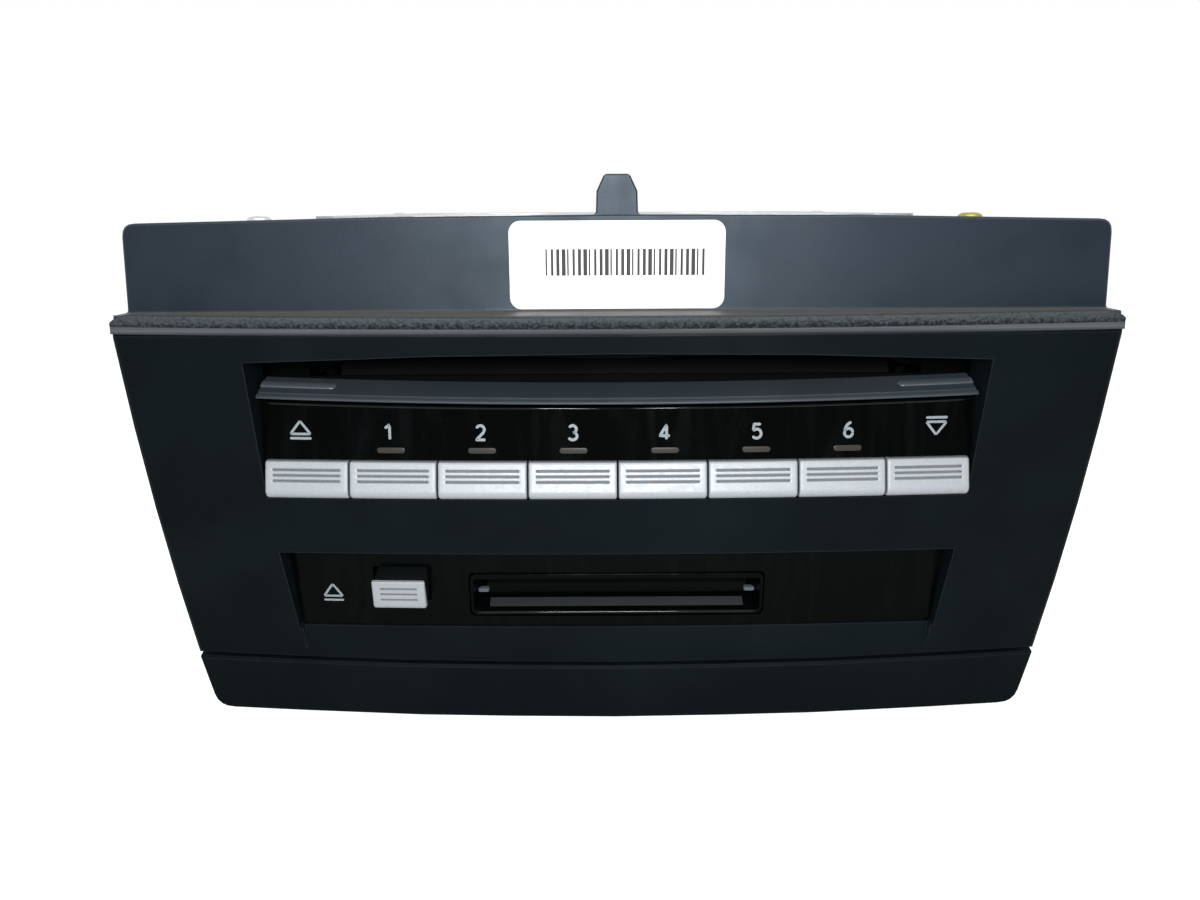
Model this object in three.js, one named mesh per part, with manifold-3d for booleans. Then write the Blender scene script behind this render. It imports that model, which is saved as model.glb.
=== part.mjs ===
// A built-in car radio with a six-disc changer and a card slot.
// Millimetres. +X is to the right as the driver sees it, -Y is the front, +Z is up.
// The origin is the middle of the chassis floor, on its underside.
import * as THREE from "three";
import { mergeVertices } from "three/addons/utils/BufferGeometryUtils.js";
import Module from "manifold-3d";

const wasm = await Module();
wasm.setup();

// Clearances that several sub-parts share
const gap = 0.3;
const overrun = 5;
const weld = 0.0002;
const fineWeld = 0.0000002;

// Chassis: a folded steel box
const sheet = 1;
const plateSeam = 0.04;
const chassisWidth = 171;
const chassisDepth = 160;
const chassisOverFace = 16.4;
const floorLift = 3;
const floorFieldWidth = 140;
const floorFieldDepth = 130;
const coverFieldWidth = 124;
const coverFieldDepth = 150;
const coverFieldRise = 1.9;
const coverSkirt = 9;
const ventCount = 9;
const ventLength = 26;
const ventWidth = 2.4;
const ventPitch = 8;

// Face: the slanted front surface, measured down its own plane from its top front edge
const tiltDegrees = 14.5;
const faceHeight = 90.4;
const faceBackset = 5.5;
const footClearance = 0.45;
const crown = 2.5;
const crownStrips = 8;
const plateWall = 2.6;
const edgeRound = 0.9;

// Fascia frame
const fasciaWidth = 182;
const fasciaTaper = 2;
const fasciaTopInset = 0.8;
const fasciaTopArc = 0.7;
const fasciaSideBow = 0.9;
const grooveArc = 1.6;
const fasciaCorner = 1.6;
const skirtWall = 2.2;
const skirtInset = 3.6;
const recessWall = 1.8;
const ribWall = 1.4;
const ribDepth = 3.2;

// Places down the face, as shares of its height
const placeShares = {
  recessTop: 0.072,
  lipTop: 0.1604,
  legendTop: 0.1759,
  bars: 0.2777,
  keyTop: 0.3009,
  keyBoardTop: 0.2323,
  keyBoardFoot: 0.4591,
  posts: 0.4248,
  cardRecessTop: 0.5243,
  cardRecessFoot: 0.7356,
  cardKeyTop: 0.5896,
  bezelTop: 0.604,
  scoopFoot: 0.7965,
  fasciaFoot: 0.8175,
};

// Upper recess: disc slot, legend panel and keys
const cheekWidth = 23.2;
const recessTopArc = 2;
const recessDepth = 9.5;
const recessRim = 3.4;

// Disc slot lip
const lipDroop = 1;
const lipBackDepth = 9;
const lipNoseDepth = 2.7;
const lipThickness = 1.7;
const lipRise = 0.75;
const lipShelfDrop = 1.9;
const lipPadWidth = 13;
const lipPadRise = 0.25;
const lipPadReach = 2;
const lipNoseRound = 0.2;

// Upper guide of the disc slot and its felt
const guideThickness = 1.4;
const feltDrop = 0.8;
const feltDepth = 3;

// Legend panel and indicator bars
const legendTopArc = 1;
const legendTopDepth = 5;
const legendFootDepth = 1.35;
const legendThickness = 1.8;
const barLength = 5.3;
const barSpreadShare = 1.034;
const barShift = 0.4;
const barHeight = 1.05;
const barGap = 0.12;
const guideRailDepth = 1.6;
const guideRailHeight = 3.2;

// Keys
const keyCount = 8;
const keySplit = 0.35;
const keyEndGap = 0.75;
const keyFaceLength = 4.8;
const keyHeight = 7.3;
const keyTopDepth = 0.8;
const keyProud = 1.75;
const keyRoll = 0.5;
const keyLipRound = 0.75;
const keyLipDrop = 1.2;
const keyLipFall = 2;
const keyBody = 4.6;
const keyEdge = 0.35;
const keyTravel = 0.8;
const keyGrooveCount = 3;
const keyGroovePitch = 1.35;
const keyGrooveFirst = 1.35;
const keyGrooveWidth = 0.5;
const keyGrooveDepth = 0.3;
const keyGrooveMargin = 2;
const stemWidth = 5;
const stemHeight = 2.6;

// Key board
const keyBoardDepth = 12.9;
const boardThickness = 1.6;
const switchSize = 4.4;
const switchRise = 0.25;
const postRadius = 2;
const postShares = [-0.88, -0.3, 0.3, 0.88];

// Lower recess: card panel, card slot and card key
const cardRecessInset = 0.4;
const cardRecessTaper = 1.4;
const cardRecessDepth = 7.5;
const cardPanelTopDepth = 4.5;
const cardPanelFootDepth = 1.7;
const cardPanelThickness = 1.8;
const scoopDepth = 1.45;
const scoopWidth = 130.6;

// Card key
const cardKeyDistance = 14;
const cardKeyWidth = 11.1;
const cardKeyHeight = 6.9;
const cardKeyProud = 1.4;
const cardKeyBody = 9;
const cardKeyEdge = 0.5;
const cardKeyCorner = 1;
const cardKeyGrooveMargin = 1.6;
const cardKeyGroovePitch = 1.5;
const cardKeyGap = 0.3;
const pushRodWidth = 3;
const pushRodLength = 22;

// Card slot
const cardWidth = 54;
const cardSlack = 1.5;
const bezelHeight = 9.4;
const bezelEnd = 2.4;
const bezelWall = 1.3;
const bezelDepth = 6.2;
const bezelLipProud = 0.45;
const bezelSill = 2.3;
const doorThickness = 1;
const doorPinRadius = 0.8;

// Card cage on the main board
const cageHeight = 8.4;
const cageWall = 0.8;
const cageLength = 83;
const cageRise = 2.6;
const cageLeg = 4;
const cageEndWall = 4;

// Lower apron
const grooveGap = 0.6;
const apronTaper = 1.5;
const apronFootInset = 1.5;
const apronCorner = 3.6;
const apronEdge = 0.5;

// Top panel: slab, ledge and tongue, in upright millimetres over the face's top front edge
const slabInset = 1.7;
const slabLean = 0.6;
const slabFoot = 2.85;
const slabTop = 18.7;
const slabArc = 1.15;
const slabCorner = 2.4;
const slabWall = 2.4;
const ledgeDepth = 7;
const ledgeFall = 0.6;
const ledgeWall = 0.8;
const ledgeSetback = 2;
const ledgeOverhang = 0.3;
const ledgeCorner = 1.2;
const cowlWall = 2;
const cowlRoofDrop = 2.6;
const tongueWidth = 7.8;
const tongueShoulderWidth = 7.3;
const tongueTopWidth = 4.5;
const tongueHeight = 7;
const tongueShoulder = 5.2;
const tongueWall = 3;

// Seal strip
const sealDepth = 1.7;
const sealTop = 1.95;
const sealInset = 0.5;
const sealCorner = 1;

// Front plate of the chassis
const discWindowWidth = 126;
const windowMargin = 0.6;
const rodWindow = 7;

// Cover screws
const screwHeadRadius = 2.5;
const screwHeadHeight = 1.7;
const screwAcross = 72.8;
const screwFrontInset = 6;
const screwRearInset = 6;

// Side brackets
const bracketLength = 96;
const bracketHeight = 34;
const bracketThickness = 2;
const bracketFoot = 34;
const bracketHoleRadius = 2.7;
const bracketHolePitch = 60;
const bracketFlange = 6;

// Rear: heat sink and sockets
const heatSinkWidth = 74;
const heatSinkHeight = 62;
const heatSinkFoot = 22;
const heatSinkAcross = -42;
const heatSinkBase = 3;
const heatSinkFinHeight = 9;
const heatSinkFinCount = 10;
const heatSinkFinWall = 1.6;
const mainSocketWidth = 44;
const mainSocketHeight = 26;
const mainSocketFoot = 10;
const mainSocketAcross = 42;
const mainSocketDepth = 9;
const socketWall = 1.8;
const mainSocketRib = 1.6;
const mainPinColumns = 6;
const mainPinRows = 2;
const pinRadius = 0.8;
const antennaRadius = 6;
const antennaBore = 3.6;
const antennaHeight = 62;
const antennaAcross = 28;
const antennaDepth = 9;
const antennaPinLength = 3;
const displaySocketWidth = 20;
const displaySocketHeight = 11;
const displaySocketFoot = 57;
const displaySocketAcross = 56;
const displaySocketDepth = 8;
const displayPinColumns = 4;
const displayPinRows = 1;

// Main board
const mainBoardHeight = 6;
const mainBoardWidth = 156;
const mainBoardEndRoom = 7;
const standoffRadius = 3;
const standoffInset = 6;
const chipSize = 24;
const chipRise = 2.6;
const canRadius = 5;
const canRise = 14;
const canPitch = 13;
const canCount = 3;

// Playing deck
const deckRoom = 7.2;
const deckWall = 1.2;
const deckSideClearance = 0.5;
const deckFlange = 10;
const deckFront = -58;
const deckRear = 72;
const discCentre = -5;
const spindleMotorRadius = 13;
const spindleMotorHeight = 3.6;
const turntableRadius = 15;
const turntableHeight = 1.6;
const spindleRadius = 7.3;
const spindleTopRadius = 5.8;
const spindleRise = 2.4;
const spindleShaftRadius = 1.5;
const sledStart = 20;
const sledTravel = 30;
const sledLength = 15;
const sledWidth = 46;
const sledHeight = 4;
const sledLift = 0.6;
const rodRadius = 1.2;
const rodOffset = 17;
const rodClearance = 0.15;
const lensRadius = 2;
const lensRise = 0.4;
const rodBlockLength = 4;
const rodBlockWidth = 7;

// Feed roller behind the disc slot
const rollerRadius = 3.5;
const rollerLength = 116;
const rollerShaftRadius = 1.25;
const rollerShaftClearance = 0.15;
const rollerSetback = 8;
const rollerSag = 0.5;
const rollerBracketWall = 1.5;
const rollerBracketReach = 7.5;

// Disc trays and their elevator
const discRadius = 60;
const discThickness = 1.2;
const trayCount = 6;
const trayPitch = 4;
const trayWall = 1.2;
const trayRim = 1.5;
const trayBore = 27;
const trayRimRise = 0.8;
const trayWindowWidth = 24;
const trayWindowInset = 4;
const discOverLip = 4.7;
const screwPostRadius = 2.5;
const screwPostGap = 0.3;
const earRadius = 5.5;
const frontPostAcross = 73;
const frontPostPlace = -46;
const rearPostPlace = 66;
const elevatorMotorSize = 16;
const elevatorMotorHeight = 12;

// Facet counts
const discFacets = 24;
const roundFacets = 20;
const smallFacets = 10;
const curveFacets = 4;

// Places worked out from the sizes
const tilt = THREE.MathUtils.degToRad(tiltDegrees);
const down = { y: Math.sin(tilt), z: -Math.cos(tilt) };
const chassisFront = -chassisDepth / 2;
const chassisRear = chassisDepth / 2;
const mainBoardDepth = chassisDepth - 2 * mainBoardEndRoom;
const faceTopY = chassisFront - faceBackset - faceHeight * down.y;
const faceTopZ = footClearance - faceHeight * down.z;
const chassisWallTop = faceTopZ + chassisOverFace;
const halfFace = fasciaWidth / 2;
const fasciaFootWidth = fasciaWidth - 2 * fasciaTaper;
const apronFootWidth = fasciaFootWidth - 2 * apronTaper;
const recessWidth = fasciaWidth - 2 * cheekWidth;
const cardRecessTopWidth = recessWidth - 2 * cardRecessInset;
const cardRecessFootWidth = cardRecessTopWidth - 2 * cardRecessTaper;
const slabWidth = fasciaWidth - 2 * slabInset;
const slabTopWidth = slabWidth - 2 * slabLean;
const recessTop = faceHeight * placeShares.recessTop;
const lipTop = faceHeight * placeShares.lipTop;
const legendTop = faceHeight * placeShares.legendTop;
const barCentre = faceHeight * placeShares.bars;
const keyTop = faceHeight * placeShares.keyTop;
const keyBoardTop = faceHeight * placeShares.keyBoardTop;
const keyBoardFoot = faceHeight * placeShares.keyBoardFoot;
const postDown = faceHeight * placeShares.posts;
const cardRecessTop = faceHeight * placeShares.cardRecessTop;
const cardRecessFoot = faceHeight * placeShares.cardRecessFoot;
const cardKeyTop = faceHeight * placeShares.cardKeyTop;
const bezelTop = faceHeight * placeShares.bezelTop;
const scoopFoot = faceHeight * placeShares.scoopFoot;
const fasciaFoot = faceHeight * placeShares.fasciaFoot;
const keyPitch = (recessWidth - 2 * keyEndGap + keySplit) / keyCount;
const bezelWidth = cardWidth + cardSlack + 2 * bezelEnd;
const cardKeyAcross = -bezelWidth / 2 - cardKeyDistance;
const recessFoot = keyTop + keyHeight + gap;
const coverTop = chassisWallTop + sheet + gap;
const discHeight = faceTopZ + lipTop * down.z + discOverLip;
const discFloor = discHeight - discThickness / 2;
const lipShelfHeight = discFloor - lipShelfDrop;
const guideHeight = faceTopZ - edgeRound - skirtWall - gap - guideThickness;
const cageFloor = faceTopZ + (bezelTop + bezelHeight) * down.z + cageRise;
const deckTop = discFloor - (trayCount - 1) * trayPitch - trayWall - deckRoom;
const deckHeight = deckTop - deckWall;

// Colours of the sub-parts, each with its own material
const paints = {
  fascia: { color: 0x15191b, roughness: 0.75, metalness: 0 },
  slab: { color: 0x39424c, roughness: 0.8, metalness: 0 },
  foam: { color: 0x4b4844, roughness: 1, metalness: 0 },
  gloss: { color: 0x08090a, roughness: 0.12, metalness: 0 },
  silver: { color: 0xb9bbbd, roughness: 0.35, metalness: 0.7 },
  light: { color: 0x6d5f55, roughness: 0.4, metalness: 0 },
  steel: { color: 0xa9adb0, roughness: 0.4, metalness: 0.9 },
  screw: { color: 0xc9cbcd, roughness: 0.3, metalness: 1 },
  brass: { color: 0xb99b3a, roughness: 0.35, metalness: 0.9 },
  alloy: { color: 0x8d9093, roughness: 0.5, metalness: 0.8 },
  board: { color: 0x1d4a2e, roughness: 0.6, metalness: 0 },
  dark: { color: 0x101112, roughness: 0.7, metalness: 0 },
  rubber: { color: 0x1b1b1b, roughness: 0.95, metalness: 0 },
  tray: { color: 0x2b2d30, roughness: 0.6, metalness: 0 },
};

// Solids from three.js geometry, and back
function solid(geometry, tolerance = weld) {
  const bare = geometry.index ? geometry.toNonIndexed() : geometry.clone();
  bare.deleteAttribute("normal");
  bare.deleteAttribute("uv");
  const merged = mergeVertices(bare, tolerance);
  return new wasm.Manifold(
    new wasm.Mesh({
      numProp: 3,
      vertProperties: merged.attributes.position.array,
      triVerts: new Uint32Array(merged.index.array),
    }),
  );
}

function geometryOf(body) {
  const mesh = body.getMesh();
  const geometry = new THREE.BufferGeometry();
  geometry.setAttribute("position", new THREE.BufferAttribute(mesh.vertProperties, 3));
  geometry.setIndex(new THREE.BufferAttribute(mesh.triVerts, 1));
  geometry.computeVertexNormals();
  return geometry;
}

const joined = (bodies) => bodies.reduce((all, body) => all.add(body));
const cut = (body, cutters) => cutters.reduce((left, cutter) => left.subtract(cutter), body);

// A closed outline, anticlockwise: corners [x, y, corner radius, outward bow of the edge to the next corner]
function outline(corners) {
  const count = corners.length;
  const point = (i) => new THREE.Vector2(corners[i % count][0], corners[i % count][1]);
  const toward = (from, to, length) => to.clone().sub(from).setLength(length).add(from);
  const shape = new THREE.Shape();
  const start = toward(point(0), point(1), corners[0][2] || 0);
  shape.moveTo(start.x, start.y);
  corners.forEach(([, , radius = 0, bow = 0], i) => {
    const nextRadius = corners[(i + 1) % count][2] || 0;
    const leave = toward(point(i), point(i + 1), radius);
    const arrive = toward(point(i + 1), point(i), nextRadius);
    const along = arrive.clone().sub(leave).normalize();
    const middle = leave.clone().add(arrive).multiplyScalar(0.5);
    middle.add(new THREE.Vector2(along.y, -along.x).multiplyScalar(2 * bow));
    if (bow) shape.quadraticCurveTo(middle.x, middle.y, arrive.x, arrive.y);
    else shape.lineTo(arrive.x, arrive.y);
    if (!nextRadius) return;
    const corner = point(i + 1);
    const after = toward(corner, point(i + 2), nextRadius);
    shape.quadraticCurveTo(corner.x, corner.y, after.x, after.y);
  });
  return shape;
}

// A rectangle's corners, anticlockwise
const rectangle = (left, low, right, high, radius = 0) => [
  [left, low, radius],
  [right, low, radius],
  [right, high, radius],
  [left, high, radius],
];

// A plate of an outline, from back to front along Z, with rounded edges
function plate(shape, back, front, edge = 0) {
  const geometry = new THREE.ExtrudeGeometry(shape, {
    depth: front - back - 2 * edge,
    curveSegments: curveFacets,
    bevelEnabled: edge > 0,
    bevelThickness: edge,
    bevelSize: edge,
    bevelOffset: -edge,
    bevelSegments: 1,
  });
  return geometry.translate(0, 0, back + edge);
}

const axisX = new THREE.Vector3(1, 0, 0);
const axisY = new THREE.Vector3(0, 1, 0);
const axisZ = new THREE.Vector3(0, 0, 1);
const ontoYZ = new THREE.Matrix4().makeBasis(axisY, axisZ, axisX);
const ontoXZ = new THREE.Matrix4().makeBasis(axisX, axisZ, axisY.clone().negate());

// A bar with a profile of [y, z] points, along X
function bar(points, left, right, edge = 0) {
  const shape = new THREE.Shape(points.map(([y, z]) => new THREE.Vector2(y, z)));
  return solid(plate(shape, left, right, edge).applyMatrix4(ontoYZ));
}

// An upright plate with an outline in X and Z, from front to rear along Y
function wall(shape, front, rear, edge = 0) {
  return solid(plate(shape, -rear, -front, edge).applyMatrix4(ontoXZ));
}

function box(left, right, front, rear, low, high) {
  const geometry = new THREE.BoxGeometry(right - left, rear - front, high - low);
  return solid(geometry.translate((left + right) / 2, (front + rear) / 2, (low + high) / 2));
}

// A round bar from one point along an axis: "x", "y" or "z"
function rod(axis, radius, length, place, facets = smallFacets) {
  const geometry = new THREE.CylinderGeometry(radius, radius, length, facets);
  if (axis === "z") geometry.rotateX(Math.PI / 2);
  if (axis === "x") geometry.rotateZ(-Math.PI / 2);
  const shift = { x: [length / 2, 0, 0], y: [0, length / 2, 0], z: [0, 0, length / 2] }[axis];
  return solid(geometry.translate(...shift).translate(...place));
}

// The face's own frame: X across, Y up the slanted plane, Z out of it
const face = new THREE.Group();
face.position.set(0, faceTopY, faceTopZ);
face.rotation.x = Math.PI / 2 + tilt;
face.updateMatrixWorld(true);
const intoFace = face.matrixWorld.clone().invert();

// An upright solid, taken into the face's frame
const asFace = (body) => solid(geometryOf(body).applyMatrix4(intoFace), fineWeld);

// A point of the side view, [distance down the face, height over it], as [y, z] in the face's frame
const onFace = ([distance, height]) => [-distance, height];

// The same for a point given upright as [y, z]
function uprightOnFace([y, z]) {
  const distance = (y - faceTopY) * down.y + (z - faceTopZ) * down.z;
  const height = (y - faceTopY) * down.z - (z - faceTopZ) * down.y;
  return [-distance, height];
}

// How far the bowed face lies behind its middle at a place across
const crownAt = (x) => -crown * (x / halfFace) ** 2;

// Cuts triangles at a plane across X, so that each strip bends as a flat facet
function splitAt(triangle, x) {
  const low = [];
  const high = [];
  triangle.forEach((a, i) => {
    const b = triangle[(i + 1) % 3];
    if (a.x < x + weld) low.push(a);
    if (a.x > x - weld) high.push(a);
    const crosses = (a.x < x - weld && b.x > x + weld) || (a.x > x + weld && b.x < x - weld);
    if (!crosses) return;
    const [near, far] = a.x < b.x ? [a, b] : [b, a];
    const middle = near.clone().lerp(far, (x - near.x) / (far.x - near.x)).setX(x);
    low.push(middle);
    high.push(middle);
  });
  const fan = (points) => points.slice(2).map((point, i) => [points[0], points[i + 1], point]);
  if (triangle.every((p) => p.x < x + weld) || triangle.every((p) => p.x > x - weld)) return [triangle];
  return [...fan(low), ...fan(high)];
}

// Bows a flat body of the face: it goes back by the crown, and down by a droop that is full at the middle
function bowed(body, droop = 0, droopWidth = recessWidth) {
  const position = geometryOf(body).toNonIndexed().getAttribute("position");
  const point = (i) => new THREE.Vector3().fromBufferAttribute(position, i);
  let triangles = [];
  for (let i = 0; i < position.count; i += 3) triangles.push([point(i), point(i + 1), point(i + 2)]);
  for (let i = 1; i < crownStrips; i += 1) {
    const x = halfFace * ((2 * i) / crownStrips - 1);
    triangles = triangles.flatMap((triangle) => splitAt(triangle, x));
  }
  const moved = triangles.flat().map(
    ({ x, y, z }) => new THREE.Vector3(x, y - droop * (1 - (2 * x / droopWidth) ** 2), z + crownAt(x)),
  );
  return solid(new THREE.BufferGeometry().setFromPoints(moved), fineWeld);
}

// Everything behind the chassis's front plate, to trim what reaches back to it
const behindFront = () =>
  asFace(box(-chassisWidth, chassisWidth, chassisFront - gap, chassisRear, -chassisWidth, 2 * chassisWidth));

// Fascia frame: bowed plate with two recesses, side skirts and a roof that reach back to the chassis
function fasciaFrame() {
  const half = fasciaWidth / 2;
  const foot = fasciaFootWidth / 2;
  const shape = outline([
    [-foot, -fasciaFoot, 0, grooveArc],
    [foot, -fasciaFoot, 0, fasciaSideBow],
    [half, -fasciaTopInset, fasciaCorner, fasciaTopArc],
    [-half, -fasciaTopInset, fasciaCorner, fasciaSideBow],
  ]);
  const front = solid(plate(shape, -plateWall, 0, edgeRound));
  const inside = recessWidth / 2 + recessWall;
  const upperTube = box(-inside, inside, -recessFoot - recessWall, -recessRim, -recessDepth, -plateWall / 2);
  const lowerInside = cardRecessTopWidth / 2 + recessWall;
  const lowerTube = box(
    -lowerInside,
    lowerInside,
    -cardRecessFoot - recessWall,
    -cardRecessTop + recessWall,
    -cardRecessDepth,
    -plateWall / 2,
  );
  const skirtFront = -plateWall / 2;
  const skirtProfile = [
    onFace([fasciaTopInset + fasciaCorner, skirtFront]),
    onFace([fasciaFoot - edgeRound, skirtFront]),
    uprightOnFace([chassisFront, faceTopZ + (fasciaFoot - edgeRound) * down.z]),
    uprightOnFace([chassisFront, faceTopZ - fasciaTopInset - fasciaCorner]),
  ];
  const skirtOut = foot - skirtInset + skirtWall;
  const skirts = [-1, 1].map((side) => {
    const ends = [side * skirtOut, side * (skirtOut - skirtWall)].sort((a, b) => a - b);
    return bar(skirtProfile, ends[0], ends[1]);
  });
  const roofTop = faceTopZ - edgeRound;
  const roof = bar(
    [
      uprightOnFace([faceTopY + plateWall / 2, roofTop]),
      uprightOnFace([chassisFront, roofTop]),
      uprightOnFace([chassisFront, roofTop - skirtWall]),
      uprightOnFace([faceTopY + plateWall, roofTop - skirtWall]),
    ],
    -skirtOut,
    skirtOut,
  );
  const ribs = [-1, 1].map((side) =>
    box(
      side * (inside + skirtOut) / 2 - ribWall / 2,
      side * (inside + skirtOut) / 2 + ribWall / 2,
      -fasciaFoot + edgeRound * 2,
      -fasciaTopInset - edgeRound * 2,
      -plateWall - ribDepth,
      -plateWall / 2,
    ),
  );
  const posts = postShares.map((share) =>
    rod("z", postRadius, keyBoardDepth - gap - plateWall / 2, [
      share * recessWidth / 2,
      -postDown,
      -keyBoardDepth + gap,
    ]),
  );
  const halfRecess = recessWidth / 2;
  const upperOpening = outline([
    [-halfRecess, -recessFoot],
    [halfRecess, -recessFoot],
    [halfRecess, -recessTop, 0, recessTopArc],
    [-halfRecess, -recessTop],
  ]);
  const lowerOpening = outline([
    [-cardRecessFootWidth / 2, -cardRecessFoot],
    [cardRecessFootWidth / 2, -cardRecessFoot],
    [cardRecessTopWidth / 2, -cardRecessTop],
    [-cardRecessTopWidth / 2, -cardRecessTop],
  ]);
  const scoop = bar(
    [
      onFace([cardRecessFoot - edgeRound, scoopDepth]),
      onFace([cardRecessFoot - edgeRound, -scoopDepth]),
      onFace([cardRecessFoot, -scoopDepth]),
      onFace([scoopFoot, 0]),
      onFace([scoopFoot, scoopDepth]),
    ],
    -scoopWidth / 2,
    scoopWidth / 2,
  );
  const whole = joined([front, upperTube, lowerTube, ...skirts, roof, ...ribs, ...posts]);
  const open = cut(whole, [
    solid(plate(upperOpening, -recessDepth - overrun, overrun)),
    solid(plate(lowerOpening, -cardRecessDepth - overrun, overrun)),
    scoop,
  ]);
  const bent = bowed(open);
  const trimmedPosts = box(
    -recessWidth,
    recessWidth,
    -postDown - postRadius * 2,
    -postDown + postRadius * 2,
    -keyBoardDepth - overrun,
    -keyBoardDepth + gap,
  );
  return cut(bent, [behindFront(), trimmedPosts]);
}

// Lower apron: the moulding under the groove, with side skirts and a floor back to the chassis
function lowerApron() {
  const top = fasciaFootWidth / 2;
  const foot = apronFootWidth / 2;
  const apronTop = fasciaFoot + grooveGap;
  const footInset = faceHeight - apronFootInset;
  const shape = outline([
    [-foot, -footInset, apronCorner, apronFootInset],
    [foot, -footInset, apronCorner, 0],
    [top, -apronTop, 0, -grooveArc],
    [-top, -apronTop, 0, 0],
  ]);
  const front = solid(plate(shape, -plateWall, 0, apronEdge));
  const skirtFront = -plateWall / 2;
  const skirtTop = apronTop + apronEdge + grooveArc;
  const skirtFoot = faceHeight - apronFootInset - apronEdge - apronCorner;
  const profile = [
    onFace([skirtTop, skirtFront]),
    onFace([skirtFoot, skirtFront]),
    uprightOnFace([chassisFront, faceTopZ + skirtFoot * down.z]),
    uprightOnFace([chassisFront, faceTopZ + skirtTop * down.z]),
  ];
  const skirtOut = top - skirtInset + skirtWall;
  const skirts = [-1, 1].map((side) => {
    const ends = [side * skirtOut, side * (skirtOut - skirtWall)].sort((a, b) => a - b);
    return bar(profile, ends[0], ends[1]);
  });
  const floorTop = faceTopZ + skirtFoot * down.z;
  const floor = bar(
    [
      uprightOnFace([faceTopY + skirtFoot * down.y + plateWall / 2, floorTop]),
      uprightOnFace([chassisFront, floorTop]),
      uprightOnFace([chassisFront, floorTop - plateWall]),
      uprightOnFace([faceTopY + skirtFoot * down.y + plateWall, floorTop - plateWall]),
    ],
    -skirtOut,
    skirtOut,
  );
  return cut(bowed(joined([front, ...skirts, floor])), [behindFront()]);
}

// Lower lip of the disc slot: a shelf with a rounded nose, two slide pads and a tail back to the chassis
function discSlotLip() {
  const back = -lipBackDepth;
  const nose = -lipNoseDepth;
  const tail = chassisFront - gap - crown;
  const profile = [
    onFace([lipTop - lipRise, back]),
    onFace([lipTop - lipNoseRound, nose - lipThickness / 2]),
    onFace([lipTop, nose - lipNoseRound]),
    onFace([lipTop + lipThickness / 4, nose]),
    onFace([lipTop + lipThickness / 2, nose - lipNoseRound]),
    onFace([lipTop + lipThickness / 2 + gap, nose - lipThickness]),
    onFace([lipTop + lipThickness / 2, back]),
    uprightOnFace([tail, lipShelfHeight - lipThickness]),
    uprightOnFace([tail, lipShelfHeight]),
  ];
  const half = recessWidth / 2 - gap;
  const shelf = bar(profile, -half, half);
  const pads = [-1, 1].map((side) => {
    const ends = [side * half, side * (half - lipPadWidth)].sort((a, b) => a - b);
    return bar(
      [
        onFace([lipTop - lipRise - lipPadRise, back]),
        onFace([lipTop - lipRise - lipPadRise, back + lipPadReach]),
        onFace([lipTop, back + lipPadReach + lipPadRise]),
        onFace([lipTop, back]),
      ],
      ends[0],
      ends[1],
    );
  });
  return bowed(joined([shelf, ...pads]), lipDroop);
}

// Upper guide of the disc slot, from the recess back to the chassis
function discGuideTop() {
  const half = recessWidth / 2 - gap;
  const front = faceTopY + recessDepth + crown + gap * 2;
  return box(-half, half, front, chassisFront - gap, guideHeight, guideHeight + guideThickness);
}

// Dust felt under the upper guide
function slotFelt() {
  const half = recessWidth / 2 - gap - lipPadWidth / 8;
  const front = faceTopY + recessDepth + crown + gap * 2;
  return box(-half, half, front, front + feltDepth, guideHeight - feltDrop, guideHeight);
}

// The sloping plane of a gloss panel: its corners are given as distance down it, from its top edge
function panelPlane(top, foot, topDepth, footDepth) {
  const slope = Math.atan2(topDepth - footDepth, foot - top);
  return {
    slope,
    length: Math.hypot(topDepth - footDepth, foot - top),
    place: (geometry) => geometry.rotateX(-slope).translate(0, -top, -topDepth),
    height: (distance) => -topDepth + (distance - top) * Math.tan(slope),
  };
}

const legendPlane = panelPlane(legendTop, keyTop, legendTopDepth, legendFootDepth);
const cardPlane = panelPlane(cardRecessTop, cardRecessFoot, cardPanelTopDepth, cardPanelFootDepth);

const keyCentre = (i) => (i - (keyCount - 1) / 2) * keyPitch;
const barPlaces = Array.from(
  { length: keyCount - 2 },
  (unused, i) => keyCentre(i + 1) * barSpreadShare + barShift,
);

// Legend panel: gloss, sunk at its top, with a window for each indicator bar
function legendPanel() {
  const half = recessWidth / 2 - gap;
  const shape = outline([
    [-half, -legendPlane.length],
    [half, -legendPlane.length],
    [half, -gap - lipThickness / 2, 0, -legendTopArc],
    [-half, -gap - lipThickness / 2],
  ]);
  const sheetBody = solid(legendPlane.place(plate(shape, -legendThickness, 0)));
  const below = box(-recessWidth, recessWidth, -recessFoot - overrun, -keyTop + gap, -recessDepth, overrun);
  const windows = barPlaces.map((x) =>
    box(
      x - barLength / 2 - barGap,
      x + barLength / 2 + barGap,
      -barCentre - barHeight / 2 - barGap,
      -barCentre + barHeight / 2 + barGap,
      -recessDepth,
      overrun,
    ),
  );
  return bowed(cut(sheetBody, [below, ...windows]));
}

// Light guide: six bars through the legend panel, on one rail behind it
function indicatorLightGuide() {
  const top = legendPlane.height(barCentre);
  const back = top - legendThickness - gap - legendTopArc;
  const bars = barPlaces.map((x) =>
    box(
      x - barLength / 2,
      x + barLength / 2,
      -barCentre - barHeight / 2,
      -barCentre + barHeight / 2,
      back - guideRailDepth / 2,
      top,
    ),
  );
  const end = barPlaces[barPlaces.length - 1] + barLength;
  const railTop = -barCentre + guideRailHeight - gap;
  return bowed(joined([...bars, box(-end, end, -barCentre - gap, railTop, back - guideRailDepth, back)]));
}

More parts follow.
